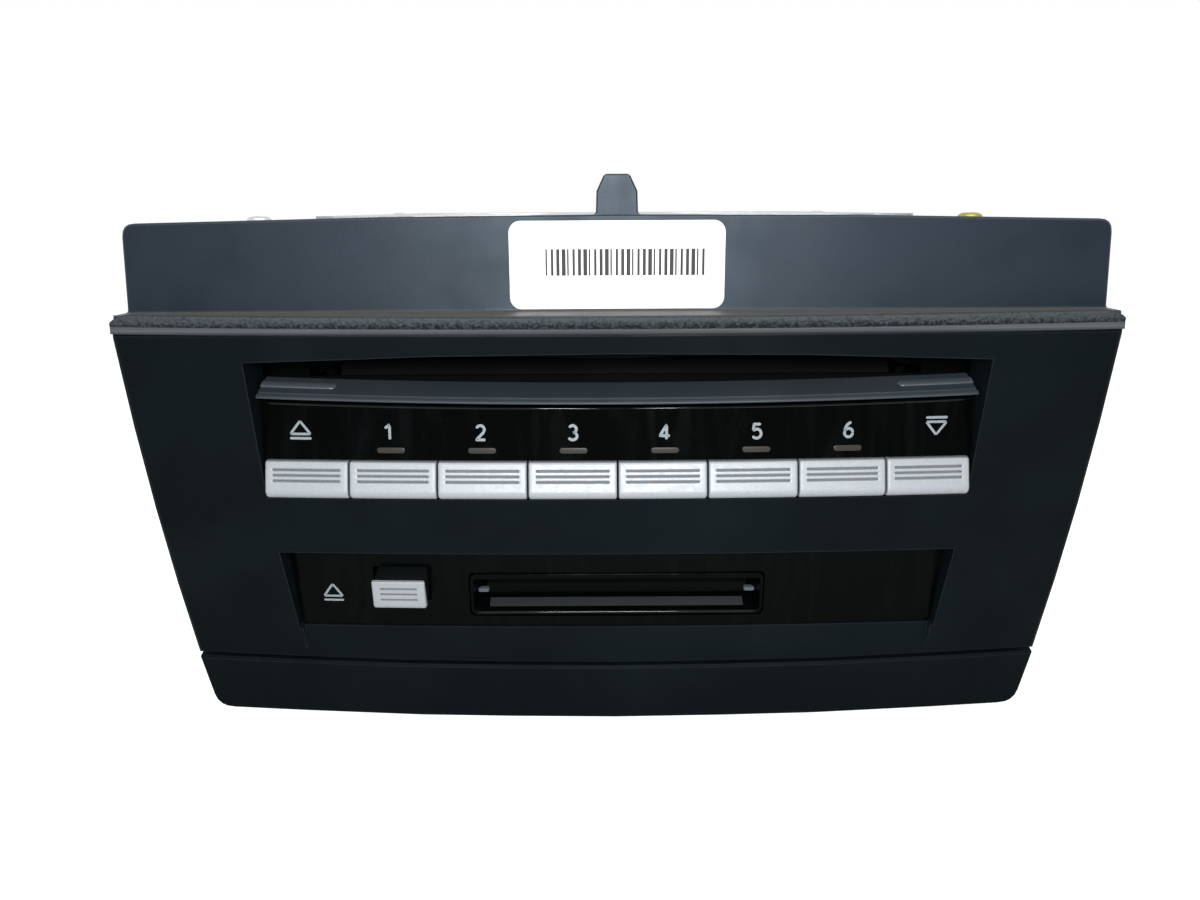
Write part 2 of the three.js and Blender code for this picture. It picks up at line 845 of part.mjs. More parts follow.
// A key: its face leans out towards its foot, with a rolled lower edge, three grooves and a stem
function frontKey(x) {
  const left = x - keyPitch / 2 + keySplit / 2;
  const right = x + keyPitch / 2 - keySplit / 2;
  const faceFoot = keyTop + keyFaceLength;
  const foot = keyTop + keyHeight;
  const lean = (keyProud + keyTopDepth) / keyFaceLength;
  const profile = [
    onFace([keyTop, -keyTopDepth - keyBody]),
    onFace([keyTop, -keyTopDepth - keyRoll / 2]),
    onFace([keyTop + keyRoll / 2, -keyTopDepth + (keyRoll / 2) * lean]),
    onFace([faceFoot, keyProud]),
    onFace([faceFoot + keyLipRound, keyProud + keyRoll / 4]),
    onFace([foot - keyLipRound, keyProud - keyRoll]),
    onFace([foot - keyRoll / 2, keyProud - keyLipDrop]),
    onFace([foot, keyProud - keyLipFall]),
    onFace([foot, -keyTopDepth - keyBody]),
  ];
  const stem = box(
    x - stemWidth / 2,
    x + stemWidth / 2,
    -(keyTop + foot) / 2 - stemHeight / 2,
    -(keyTop + foot) / 2 + stemHeight / 2,
    -keyBoardDepth,
    -keyTopDepth - keyBody / 2,
  );
  const grooves = Array.from({ length: keyGrooveCount }, (unused, i) => {
    const at = keyGrooveFirst + i * keyGroovePitch;
    const surface = -keyTopDepth + at * lean;
    const length = right - left - 2 * keyGrooveMargin;
    const groove = new THREE.BoxGeometry(length, keyGrooveWidth, keyGrooveDepth * 2);
    return solid(groove.rotateX(-Math.atan(lean)).translate(x, -keyTop - at, surface));
  });
  const cap = cut(bar(profile, left, right, keyEdge), grooves);
  const stemEnd = -keyBoardDepth + switchRise + gap + keyTravel;
  const deep = -2 * keyBoardDepth;
  const behind = box(left - overrun, right + overrun, -foot - overrun, -keyTop + overrun, deep, stemEnd);
  return cut(bowed(cap.add(stem)), [behind]);
}

// Key board with a low switch under each key
function keyBoard() {
  const half = recessWidth / 2;
  const back = -keyBoardDepth - boardThickness;
  const plateBody = box(-half, half, -keyBoardFoot, -keyBoardTop, back, -keyBoardDepth);
  const middle = -keyTop - keyHeight / 2;
  const switches = Array.from({ length: keyCount }, (unused, i) =>
    box(
      keyCentre(i) - switchSize / 2,
      keyCentre(i) + switchSize / 2,
      middle - switchSize / 2,
      middle + switchSize / 2,
      -keyBoardDepth - boardThickness / 2,
      -keyBoardDepth + switchRise,
    ),
  );
  return joined([plateBody, ...switches]);
}

// Card panel: gloss, sunk at its top, with openings for the card key and the slot's bezel
function cardPanel() {
  const clear = gap / Math.cos(cardPlane.slope);
  const topHalf = cardRecessTopWidth / 2 - gap;
  const footHalf = cardRecessFootWidth / 2 - gap;
  const shape = outline([
    [-footHalf, -cardPlane.length + clear],
    [footHalf, -cardPlane.length + clear],
    [topHalf, -clear],
    [-topHalf, -clear],
  ]);
  const sheetBody = solid(cardPlane.place(plate(shape, -cardPanelThickness, 0)));
  const keyWindow = box(
    cardKeyAcross - cardKeyWidth / 2 - cardKeyGap,
    cardKeyAcross + cardKeyWidth / 2 + cardKeyGap,
    -cardKeyTop - cardKeyHeight - cardKeyGap,
    -cardKeyTop + cardKeyGap,
    -cardRecessDepth - overrun,
    overrun,
  );
  const bezelWindow = plate(
    outline(
      rectangle(
        -bezelWidth / 2 - gap,
        -(bezelTop - cardRecessTop) - bezelHeight - gap,
        bezelWidth / 2 + gap,
        -(bezelTop - cardRecessTop) + gap,
        bezelWall,
      ),
    ),
    -overrun,
    overrun,
  );
  return bowed(cut(sheetBody, [keyWindow, solid(cardPlane.place(bezelWindow))]));
}

// Card key: a proud block with three grooves, and its push rod that runs back beside the cage
function cardEjectKey() {
  const back = crownAt(cardKeyAcross);
  const front = cardKeyProud + back;
  const shape = outline(
    rectangle(
      cardKeyAcross - cardKeyWidth / 2,
      -cardKeyTop - cardKeyHeight,
      cardKeyAcross + cardKeyWidth / 2,
      -cardKeyTop,
      cardKeyCorner,
    ),
  );
  const block = solid(plate(shape, front - cardKeyBody, front, cardKeyEdge));
  const middle = -cardKeyTop - cardKeyHeight / 2;
  const rodBody = box(
    cardKeyAcross - pushRodWidth / 2,
    cardKeyAcross + pushRodWidth / 2,
    middle - pushRodWidth / 2,
    middle + pushRodWidth / 2,
    front - cardKeyBody - pushRodLength,
    front - cardKeyBody / 2,
  );
  const grooves = Array.from({ length: keyGrooveCount }, (unused, i) => {
    const at = middle + (i - (keyGrooveCount - 1) / 2) * cardKeyGroovePitch;
    return box(
      cardKeyAcross - cardKeyWidth / 2 + cardKeyGrooveMargin,
      cardKeyAcross + cardKeyWidth / 2 - cardKeyGrooveMargin,
      at - keyGrooveWidth / 2,
      at + keyGrooveWidth / 2,
      front - keyGrooveDepth,
      front + overrun,
    );
  });
  return cut(block.add(rodBody), grooves);
}

// Bezel of the card slot: a frame with a rounded lower lip and a sill that slopes in
function cardSlotBezel() {
  const top = -(bezelTop - cardRecessTop);
  const half = bezelWidth / 2;
  const frame = outline(rectangle(-half, top - bezelHeight, half, top, bezelWall));
  const outer = solid(plate(frame, -bezelDepth, 0));
  const lip = bar(
    [
      [top - bezelHeight + gap, -bezelWall],
      [top - bezelHeight + gap, bezelLipProud / 2],
      [top - bezelHeight + bezelWall / 2, bezelLipProud],
      [top - bezelHeight + bezelWall, bezelLipProud / 2],
      [top - bezelHeight + bezelWall, -bezelWall],
    ],
    -half + bezelWall,
    half - bezelWall,
  );
  const mouthHalf = (cardWidth + cardSlack) / 2;
  const mouth = bar(
    [
      [top - bezelWall, overrun],
      [top - bezelHeight + bezelWall, overrun],
      [top - bezelHeight + bezelWall, 0],
      [top - bezelHeight + bezelSill, -bezelDepth / 2],
      [top - bezelHeight + bezelSill, -bezelDepth - overrun],
      [top - bezelWall, -bezelDepth - overrun],
    ],
    -mouthHalf,
    mouthHalf,
  );
  const body = cut(outer.add(lip), [mouth]);
  return solid(cardPlane.place(geometryOf(body)), fineWeld);
}

// Door of the card slot: a flap that hangs from a pin at its top edge and swings inwards
const doorDepth = bezelDepth - doorPinRadius - gap;
const doorTopPlace = -(bezelTop - cardRecessTop) - bezelWall - doorPinRadius - gap;

function cardDoor() {
  const half = (cardWidth + cardSlack) / 2 - gap;
  const foot = -(bezelTop - cardRecessTop) - bezelHeight + bezelSill + gap;
  const back = -doorDepth - doorThickness / 2;
  const flap = box(-half, half, foot, doorTopPlace, back, back + doorThickness);
  const pin = rod("x", doorPinRadius, 2 * half, [-half, doorTopPlace, -doorDepth]);
  return solid(cardPlane.place(geometryOf(flap.add(pin))), fineWeld);
}

// Where the crown leaves an upright piece of the top panel, in plan
const planCrown = crown * Math.cos(tilt);
const ledgeHalf = halfFace + ledgeOverhang;

// Top panel: slab with an arched top, ledge, tongue, and a hidden roof and sides back to the chassis
function topPanel() {
  const slabFront = faceTopY + ledgeDepth;
  const low = faceTopZ + slabFoot;
  const high = faceTopZ + slabTop;
  const half = slabWidth / 2;
  const topHalf = slabTopWidth / 2;
  const slabShape = outline([
    [-half, low - ledgeWall],
    [half, low - ledgeWall],
    [topHalf, high, slabCorner, slabArc],
    [-topHalf, high, slabCorner],
  ]);
  const slab = wall(slabShape, slabFront, slabFront + slabWall, gap);
  const ledgeFront = faceTopY - overrun;
  const slope = ledgeFall / ledgeDepth;
  const ledgeBar = bar(
    [
      [slabFront + slabWall / 2, low],
      [ledgeFront, low - (slabFront - ledgeFront) * slope],
      [ledgeFront, low - (slabFront - ledgeFront) * slope - ledgeWall],
      [slabFront + slabWall / 2, low - ledgeWall],
    ],
    -ledgeHalf,
    ledgeHalf,
  );
  const ledgePlan = outline([
    [-ledgeHalf, faceTopY + planCrown + ledgeSetback, ledgeCorner, planCrown],
    [ledgeHalf, faceTopY + planCrown + ledgeSetback, ledgeCorner, 0],
    [half, slabFront + slabWall, 0, 0],
    [-half, slabFront + slabWall, 0, 0],
  ]);
  const ledge = ledgeBar.intersect(solid(plate(ledgePlan, low - overrun, low + overrun)));
  const rear = chassisFront - gap;
  const sideFoot = faceTopZ + gap;
  const sides = [-1, 1].map((side) => {
    const out = topHalf - slabCorner;
    const ends = [side * out, side * (out - cowlWall)].sort((a, b) => a - b);
    return box(ends[0], ends[1], slabFront + slabWall / 2, rear, sideFoot, high - cowlRoofDrop);
  });
  const roofHalf = topHalf - slabCorner;
  const roof = box(
    -roofHalf,
    roofHalf,
    slabFront + slabWall / 2,
    rear,
    high - cowlRoofDrop - cowlWall,
    high - cowlRoofDrop,
  );
  const tongueFoot = high;
  const tongueShape = outline([
    [-tongueWidth / 2, tongueFoot - slabWall],
    [tongueWidth / 2, tongueFoot - slabWall],
    [tongueShoulderWidth / 2, tongueFoot + tongueShoulder],
    [tongueTopWidth / 2, tongueFoot + slabArc + tongueHeight],
    [-tongueTopWidth / 2, tongueFoot + slabArc + tongueHeight],
    [-tongueShoulderWidth / 2, tongueFoot + tongueShoulder],
  ]);
  const tongue = wall(tongueShape, slabFront + gap, slabFront + gap + tongueWall, gap);
  return joined([slab, ledge, ...sides, roof, tongue]);
}

// Foam strip on the ledge's front edge, with a lower edge that follows the fascia's arched top
function sealStrip() {
  const foot = halfFace - fasciaCorner / 2;
  const shape = outline([
    [-foot, -fasciaTopInset + gap, 0, -fasciaTopArc],
    [foot, -fasciaTopInset + gap],
    [ledgeHalf, sealTop, sealCorner],
    [-ledgeHalf, sealTop, sealCorner],
  ]);
  return bowed(solid(plate(shape, -sealDepth, -sealInset)));
}

// Folded chassis: two sides and a floor, whose pressed field is what the radio stands on
function chassisTray() {
  const half = chassisWidth / 2;
  const front = chassisFront + sheet + plateSeam;
  const rear = chassisRear - sheet - plateSeam;
  const lifted = box(-half, half, front, rear, floorLift, floorLift + sheet);
  const field = (inset, low, high) =>
    box(
      -floorFieldWidth / 2 + inset,
      floorFieldWidth / 2 - inset,
      -floorFieldDepth / 2 + inset,
      floorFieldDepth / 2 - inset,
      low,
      high,
    );
  const pressed = lifted.add(field(0, 0, floorLift + sheet / 2));
  const floor = pressed.subtract(field(sheet, sheet, floorLift + 2 * sheet));
  const sides = [-1, 1].map((side) => {
    const ends = [side * half, side * (half - sheet)].sort((a, b) => a - b);
    return box(ends[0], ends[1], front, rear, floorLift, chassisWallTop);
  });
  const standoffs = standoffPlaces().map(([x, y]) =>
    rod("z", standoffRadius, mainBoardHeight - gap - floorLift - sheet / 2, [x, y, floorLift + sheet / 2]),
  );
  return joined([floor, ...sides, ...standoffs]);
}

function standoffPlaces() {
  const x = mainBoardWidth / 2 - standoffInset;
  const y = mainBoardDepth / 2 - standoffInset;
  return [
    [-x, -y],
    [x, -y],
    [x, y],
    [-x, y],
  ];
}

// Front plate of the chassis, with windows for disc, card and push rod
function frontPlate() {
  const half = chassisWidth / 2;
  const body = box(-half, half, chassisFront, chassisFront + sheet, floorLift, chassisWallTop);
  const through = (left, right, low, high) =>
    box(left, right, chassisFront - overrun, chassisFront + overrun, low, high);
  const discWindow = discWindowWidth / 2;
  const cardWindow = cardWidth / 2 + cageWall + gap + windowMargin;
  const pushRod = new THREE.Vector3(
    cardKeyAcross,
    -cardKeyTop - cardKeyHeight / 2,
    -(chassisFront - faceTopY + (cardKeyTop + cardKeyHeight / 2) * -down.y) / Math.cos(tilt),
  ).applyMatrix4(face.matrixWorld);
  return cut(body, [
    through(-discWindow, discWindow, lipShelfHeight - windowMargin, guideHeight + guideThickness),
    through(-cardWindow, cardWindow, cageFloor - windowMargin, cageFloor + cageHeight + windowMargin),
    through(
      pushRod.x - rodWindow / 2,
      pushRod.x + rodWindow / 2,
      pushRod.z - rodWindow,
      pushRod.z + rodWindow,
    ),
  ]);
}

// Rear plate, with a window for each socket
function rearPlate() {
  const half = chassisWidth / 2;
  const body = box(-half, half, chassisRear - sheet, chassisRear, floorLift, chassisWallTop);
  const through = (across, width, foot, height) =>
    box(
      across - width / 2 + socketWall,
      across + width / 2 - socketWall,
      chassisRear - overrun,
      chassisRear + overrun,
      foot + socketWall,
      foot + height - socketWall,
    );
  return cut(body, [
    through(mainSocketAcross, mainSocketWidth, mainSocketFoot, mainSocketHeight),
    through(displaySocketAcross, displaySocketWidth, displaySocketFoot, displaySocketHeight),
  ]);
}

// Top cover: a lid with a raised field, turned-down sides and two rows of cooling slots
function topCover() {
  const half = chassisWidth / 2 + sheet + gap;
  const low = chassisWallTop + gap;
  const lid = box(-half, half, chassisFront, chassisRear, low, low + sheet);
  const fieldShape = outline(
    rectangle(-coverFieldWidth / 2, -coverFieldDepth / 2, coverFieldWidth / 2, coverFieldDepth / 2, overrun),
  );
  const field = solid(plate(fieldShape, low + sheet / 2, low + sheet + coverFieldRise));
  const hollow = solid(
    plate(fieldShape, low - overrun, low + coverFieldRise).scale(
      1 - (2 * sheet) / coverFieldWidth,
      1 - (2 * sheet) / coverFieldDepth,
      1,
    ),
  );
  const sides = [-1, 1].map((side) => {
    const ends = [side * half, side * (half - sheet)].sort((a, b) => a - b);
    return box(ends[0], ends[1], chassisFront, chassisRear, low - coverSkirt, low + sheet / 2);
  });
  const vents = [-1, 1].flatMap((side) =>
    Array.from({ length: ventCount }, (unused, i) => {
      const y = (i - (ventCount - 1) / 2) * ventPitch;
      const x = (side * coverFieldWidth) / 4;
      return box(
        x - ventLength / 2,
        x + ventLength / 2,
        y - ventWidth / 2,
        y + ventWidth / 2,
        low - overrun,
        low + overrun,
      );
    }),
  );
  return cut(joined([lid, field]), [hollow, ...vents]).add(joined(sides));
}

// A cover screw: a domed head over a short shank
function coverScrew() {
  const dome = Array.from({ length: curveFacets }, (unused, i) => {
    const angle = ((i / curveFacets) * Math.PI) / 2;
    return new THREE.Vector2(screwHeadRadius * Math.cos(angle), screwHeadHeight * Math.sin(angle));
  });
  const profile = [new THREE.Vector2(0, 0), ...dome, new THREE.Vector2(0, screwHeadHeight)];
  return solid(new THREE.LatheGeometry(profile, roundFacets).rotateX(Math.PI / 2));
}

// A side bracket: a plate on the chassis wall with two bolt holes and a turned-out flange
function sideBracket(side) {
  const out = chassisWidth / 2 + gap;
  const ends = [side * out, side * (out + bracketThickness)].sort((a, b) => a - b);
  const body = box(
    ends[0],
    ends[1],
    -bracketLength / 2,
    bracketLength / 2,
    bracketFoot,
    bracketFoot + bracketHeight,
  );
  const holes = [-1, 1].map((end) =>
    rod(
      "x",
      bracketHoleRadius,
      bracketThickness + 2 * overrun,
      [ends[0] - overrun, (end * bracketHolePitch) / 2, bracketFoot + bracketHeight / 2],
      roundFacets,
    ),
  );
  const tip = [side * out, side * (out + bracketFlange)].sort((a, b) => a - b);
  const flange = box(
    tip[0],
    tip[1],
    -bracketLength / 2,
    bracketLength / 2,
    bracketFoot - bracketThickness / 2,
    bracketFoot + bracketThickness / 2,
  );
  return cut(body, holes).add(flange);
}

// Heat sink with upright fins on the rear plate
function heatSink() {
  const left = heatSinkAcross - heatSinkWidth / 2;
  const front = chassisRear + gap;
  const top = heatSinkFoot + heatSinkHeight;
  const base = box(left, left + heatSinkWidth, front, front + heatSinkBase, heatSinkFoot, top);
  const pitch = (heatSinkWidth - heatSinkFinWall) / (heatSinkFinCount - 1);
  const fins = Array.from({ length: heatSinkFinCount }, (unused, i) =>
    box(
      left + i * pitch,
      left + i * pitch + heatSinkFinWall,
      front + heatSinkBase / 2,
      front + heatSinkBase + heatSinkFinHeight,
      heatSinkFoot,
      top,
    ),
  );
  return joined([base, ...fins]);
}

// A shrouded socket with a floor, open to the rear
function socket(across, foot, width, height, depth, pinColumns, pinRows) {
  const front = chassisRear + gap;
  const shape = outline(rectangle(across - width / 2, foot, across + width / 2, foot + height, socketWall));
  const body = wall(shape, front, front + depth);
  const inside = box(
    across - width / 2 + socketWall,
    across + width / 2 - socketWall,
    front + socketWall,
    front + depth + overrun,
    foot + socketWall,
    foot + height - socketWall,
  );
  const pins = [];
  for (let column = 1; column <= pinColumns; column += 1) {
    for (let row = 1; row <= pinRows; row += 1) {
      const x = across - width / 2 + (column * width) / (pinColumns + 1);
      const z = foot + (row * height) / (pinRows + 1);
      pins.push(
        box(
          x - pinRadius,
          x + pinRadius,
          front + socketWall / 2,
          front + depth - socketWall,
          z - pinRadius,
          z + pinRadius,
        ),
      );
    }
  }
  return joined([cut(body, [inside]), ...pins]);
}

function mainConnector() {
  const rib = box(
    mainSocketAcross - mainSocketRib / 2,
    mainSocketAcross + mainSocketRib / 2,
    chassisRear + gap + socketWall / 2,
    chassisRear + gap + mainSocketDepth,
    mainSocketFoot + socketWall / 2,
    mainSocketFoot + mainSocketHeight - socketWall / 2,
  );
  return socket(
    mainSocketAcross,
    mainSocketFoot,
    mainSocketWidth,
    mainSocketHeight,
    mainSocketDepth,
    mainPinColumns,
    mainPinRows,
  ).add(rib);
}

function displaySocket() {
  return socket(
    displaySocketAcross,
    displaySocketFoot,
    displaySocketWidth,
    displaySocketHeight,
    displaySocketDepth,
    displayPinColumns,
    displayPinRows,
  );
}

function antennaSocket() {
  const front = chassisRear + gap;
  const barrel = rod("y", antennaRadius, antennaDepth, [antennaAcross, front, antennaHeight], roundFacets);
  const floor = [antennaAcross, front + socketWall, antennaHeight];
  const bore = rod("y", antennaBore, antennaDepth, floor, roundFacets);
  const pin = rod("y", pinRadius, antennaPinLength, [antennaAcross, front + socketWall / 2, antennaHeight]);
  return cut(barrel, [bore]).add(pin);
}

// Main board with its processor, amplifier and reservoir capacitors
function mainBoard() {
  const half = mainBoardWidth / 2;
  const top = mainBoardHeight + boardThickness;
  const board = box(-half, half, -mainBoardDepth / 2, mainBoardDepth / 2, mainBoardHeight, top);
  const chipPlaces = [
    [-half / 2, mainBoardDepth / 4],
    [half / 2, mainBoardDepth / 4],
    [half / 2, -mainBoardDepth / 4],
  ];
  const chips = chipPlaces.map(([x, y]) =>
    box(
      x - chipSize / 2,
      x + chipSize / 2,
      y - chipSize / 2,
      y + chipSize / 2,
      top - boardThickness / 2,
      top + chipRise,
    ),
  );
  const cans = Array.from({ length: canCount }, (unused, i) =>
    rod("z", canRadius, canRise + boardThickness / 2, [
      -half / 2 - chipSize / 2 + i * canPitch,
      -mainBoardDepth / 4,
      top - boardThickness / 2,
    ]),
  );
  return joined([board, ...chips, ...cans]);
}

// Card cage: a sheet tunnel on four legs, closed by its contact block at the rear
function cardCage() {
  const front = chassisFront + sheet + gap;
  const half = cardWidth / 2 + cageWall + gap;
  const outer = box(-half, half, front, front + cageLength, cageFloor, cageFloor + cageHeight);
  const tunnel = box(
    -half + cageWall,
    half - cageWall,
    front - overrun,
    front + cageLength - cageEndWall,
    cageFloor + cageWall,
    cageFloor + cageHeight - cageWall,
  );
  const legTop = cageFloor + cageWall / 2;
  const legFoot = mainBoardHeight + boardThickness + gap;
  const legs = [-1, 1].flatMap((side) =>
    [front + cageLeg, front + cageLength - 2 * cageLeg].map((y) => {
      const x = side * (half - cageLeg);
      return box(x - cageLeg / 2, x + cageLeg / 2, y, y + cageLeg / 2, legFoot, legTop);
    }),
  );
  return cut(outer, [tunnel]).add(joined(legs));
}

// Playing deck: a plate between the chassis sides, with blocks for the sled's rods
const rodHeight = deckTop + sledLift + sledHeight / 2;
const rodStart = discCentre + turntableRadius + gap * 2;
const rodEnd = discCentre + sledStart + sledTravel + sledLength + rodBlockLength;

function mechanismDeck() {
  const half = chassisWidth / 2 - sheet - deckSideClearance;
  const body = box(-half, half, deckFront, deckRear, deckHeight, deckTop);
  const flanges = [-1, 1].map((side) => {
    const ends = [side * half, side * (half - deckWall)].sort((a, b) => a - b);
    return box(ends[0], ends[1], deckFront, deckRear, deckHeight - deckFlange, deckTop - deckWall / 2);
  });
  const blocks = [-1, 1].flatMap((side) =>
    [rodStart, rodEnd - rodBlockLength].map((y) =>
      box(
        side * rodOffset - rodBlockWidth / 2,
        side * rodOffset + rodBlockWidth / 2,
        y,
        y + rodBlockLength,
        deckTop - deckWall / 2,
        rodHeight + rodRadius * 2,
      ),
    ),
  );
  const shaftHole = rod("z", spindleShaftRadius + gap, 2 * overrun, [0, discCentre, deckHeight - overrun]);
  const rodHoles = [-1, 1].map((side) =>
    rod("y", rodRadius + rodClearance, rodEnd - rodStart + 2 * overrun, [
      side * rodOffset,
      rodStart - overrun,
      rodHeight,
    ]),
  );
  return cut(joined([body, ...flanges, ...blocks]), [shaftHole, ...rodHoles]);
}

function spindleMotor() {
  const top = deckHeight - gap;
  const place = [0, discCentre, top - spindleMotorHeight];
  return rod("z", spindleMotorRadius, spindleMotorHeight, place, roundFacets);
}

// Turntable: platter, centring cone and the shaft that comes up through the deck
function turntable() {
  const low = deckTop + gap;
  const platter = rod("z", turntableRadius, turntableHeight, [0, discCentre, low], roundFacets);
  const cone = new THREE.CylinderGeometry(spindleTopRadius, spindleRadius, spindleRise, roundFacets);
  cone.rotateX(Math.PI / 2).translate(0, discCentre, low + turntableHeight + spindleRise / 2 - gap / 2);
  const shaft = rod("z", spindleShaftRadius, deckWall + gap + turntableHeight / 2, [
    0,
    discCentre,
    deckHeight,
  ]);
  return joined([platter, solid(cone), shaft]);
}

// Laser sled: a carriage bored for its rods, with the lens on top
function laserSled() {
  const low = deckTop + sledLift;
  const front = discCentre + sledStart;
  const body = box(-sledWidth / 2, sledWidth / 2, front, front + sledLength, low, low + sledHeight);
  const lens = rod("z", lensRadius, sledHeight + lensRise, [0, front + sledLength / 2, low]);
  const bores = [-1, 1].map((side) =>
    rod("y", rodRadius + rodClearance, sledLength + 2 * overrun, [
      side * rodOffset,
      front - overrun,
      rodHeight,
    ]),
  );
  return cut(body.add(lens), bores);
}

const sledRod = (side) =>
  rod("y", rodRadius, rodEnd - rodStart, [side * rodOffset, rodStart, rodHeight]);

// Feed roller: a rubber roller on a shaft, just under the disc's path
const rollerPlace = chassisFront + sheet + rollerSetback;
const rollerHeight = discFloor - rollerSag - rollerRadius;

function feedRoller() {
  const length = rollerLength;
  const sleeve = rod("x", rollerRadius, length, [-length / 2, rollerPlace, rollerHeight], roundFacets);
  const shaftLength = length + 2 * (rollerBracketWall + gap * 2);
  return sleeve.add(rod("x", rollerShaftRadius, shaftLength, [-shaftLength / 2, rollerPlace, rollerHeight]));
}

// Roller bracket: a sheet channel fixed behind the front plate, with a bored ear at each end
function rollerBracket() {
  const inside = rollerLength / 2 + gap;
  const front = chassisFront + sheet + gap;
  const low = rollerHeight - rollerRadius - rollerBracketWall - gap;
  const rear = rollerPlace + rollerBracketReach / 2;
  const half = inside + rollerBracketWall;
  const web = box(-half, half, front, rear, low, low + rollerBracketWall);
  const ears = [-1, 1].map((side) => {
    const ends = [side * inside, side * half].sort((a, b) => a - b);
    return box(ends[0], ends[1], front, rear, low, rollerHeight + rollerShaftRadius + rollerBracketWall);
  });
  const bore = rod("x", rollerShaftRadius + rollerShaftClearance, 2 * half + 2 * overrun, [
    -half - overrun,
    rollerPlace,
    rollerHeight,
  ]);
  return cut(joined([web, ...ears]), [bore]);
}

// Elevator posts stand outside the disc's circle, two beside it and one behind
const postPlaces = {
  left: [-frontPostAcross, frontPostPlace],
  right: [frontPostAcross, frontPostPlace],
  rear: [0, rearPostPlace],
};

const elevatorPost = ([x, y]) =>
  rod("z", screwPostRadius, chassisWallTop - deckTop - 2 * gap, [x, y, deckTop + gap]);

// A disc tray: a rimmed ring with an ear round each elevator post
function discTray(index) {
  const top = discFloor - index * trayPitch;
  const radius = discRadius + trayRim;
  const ring = rod("z", radius, trayWall, [0, discCentre, top - trayWall], discFacets);
  const arms = Object.values(postPlaces).map(([x, y]) => {
    const reach = Math.hypot(x, y - discCentre);
    const start = radius - earRadius;
    const arm = new THREE.BoxGeometry(reach - start, earRadius * 2, trayWall);
    arm.translate((reach + start) / 2, 0, 0).rotateZ(Math.atan2(y - discCentre, x));
    const pad = rod("z", earRadius, trayWall, [x, y, top - trayWall]);
    return solid(arm.translate(0, discCentre, top - trayWall / 2)).add(pad);
  });
  const rim = rod("z", radius, trayWall + trayRimRise, [0, discCentre, top - trayWall], discFacets);
  const nest = rod("z", discRadius + gap, overrun, [0, discCentre, top], discFacets);
  const mouth = box(-discRadius, discRadius, -chassisDepth, discCentre, top, top + overrun);
  const bore = rod("z", trayBore, 2 * overrun, [0, discCentre, top - overrun], roundFacets);
  const window = box(
    -trayWindowWidth / 2,
    trayWindowWidth / 2,
    discCentre,
    discCentre + discRadius - trayWindowInset,
    top - overrun,
    top + overrun,
  );
  const holes = Object.values(postPlaces).map(([x, y]) =>
    rod("z", screwPostRadius + screwPostGap, 2 * overrun, [x, y, top - overrun]),
  );
  return cut(joined([ring, rim, ...arms]), [nest, mouth, bore, window, ...holes]);
}

function elevatorMotor() {
  const x = chassisWidth / 2 - sheet - deckSideClearance - elevatorMotorSize;
  const low = deckTop + gap;
  const end = x + elevatorMotorSize - 2 * deckWall;
  return box(x, end, deckRear - elevatorMotorSize, deckRear, low, low + elevatorMotorHeight);
}

// The assembly: upright pieces in one group, pieces of the slanted face in another
const radio = new THREE.Group();
radio.add(face);

function node(group, name, body, paint) {
  const material = new THREE.MeshStandardMaterial(paints[paint]);
  const mesh = new THREE.Mesh(geometryOf(body), material);
  mesh.name = name;
  group.add(mesh);
  return mesh;
}

node(face, "fascia_frame", fasciaFrame(), "fascia");
node(face, "lower_apron", lowerApron(), "fascia");
node(radio, "top_panel", topPanel(), "slab");
node(face, "seal_strip", sealStrip(), "foam");
node(face, "disc_slot_lip", discSlotLip(), "fascia");
node(radio, "disc_guide_top", discGuideTop(), "dark");
node(radio, "slot_felt", slotFelt(), "rubber");
node(face, "legend_panel", legendPanel(), "gloss");
node(face, "indicator_light_guide", indicatorLightGuide(), "light");
const keyNames = ["eject", "1", "2", "3", "4", "5", "6", "load"];
keyNames.forEach((name, i) => node(face, "key_" + name, frontKey(keyCentre(i)), "silver"));
node(face, "key_board", keyBoard(), "board");
node(face, "card_panel", cardPanel(), "gloss");
node(face, "card_eject_key", cardEjectKey(), "silver");
node(face, "card_slot_bezel", cardSlotBezel(), "gloss");
node(face, "card_door", cardDoor(), "dark");

node(radio, "chassis_tray", chassisTray(), "steel");
node(radio, "front_plate", frontPlate(), "steel");
node(radio, "rear_plate", rearPlate(), "steel");
node(radio, "top_cover", topCover(), "steel");
node(radio, "side_bracket_left", sideBracket(-1), "steel");
node(radio, "side_bracket_right", sideBracket(1), "steel");
node(radio, "heat_sink", heatSink(), "alloy");
node(radio, "main_connector", mainConnector(), "dark");
node(radio, "display_socket", displaySocket(), "dark");
node(radio, "antenna_socket", antennaSocket(), "brass");

const screwPlaces = {
  front_left: [-screwAcross, chassisFront + screwFrontInset],
  front_right: [screwAcross, chassisFront + screwFrontInset],
  rear_left: [-screwAcross, chassisRear - screwRearInset],
  rear_right: [screwAcross, chassisRear - screwRearInset],
};
for (const [name, [x, y]] of Object.entries(screwPlaces)) {
  const paint = name === "front_right" ? "brass" : "screw";
  node(radio, "cover_screw_" + name, coverScrew(), paint).position.set(x, y, coverTop + gap);
}

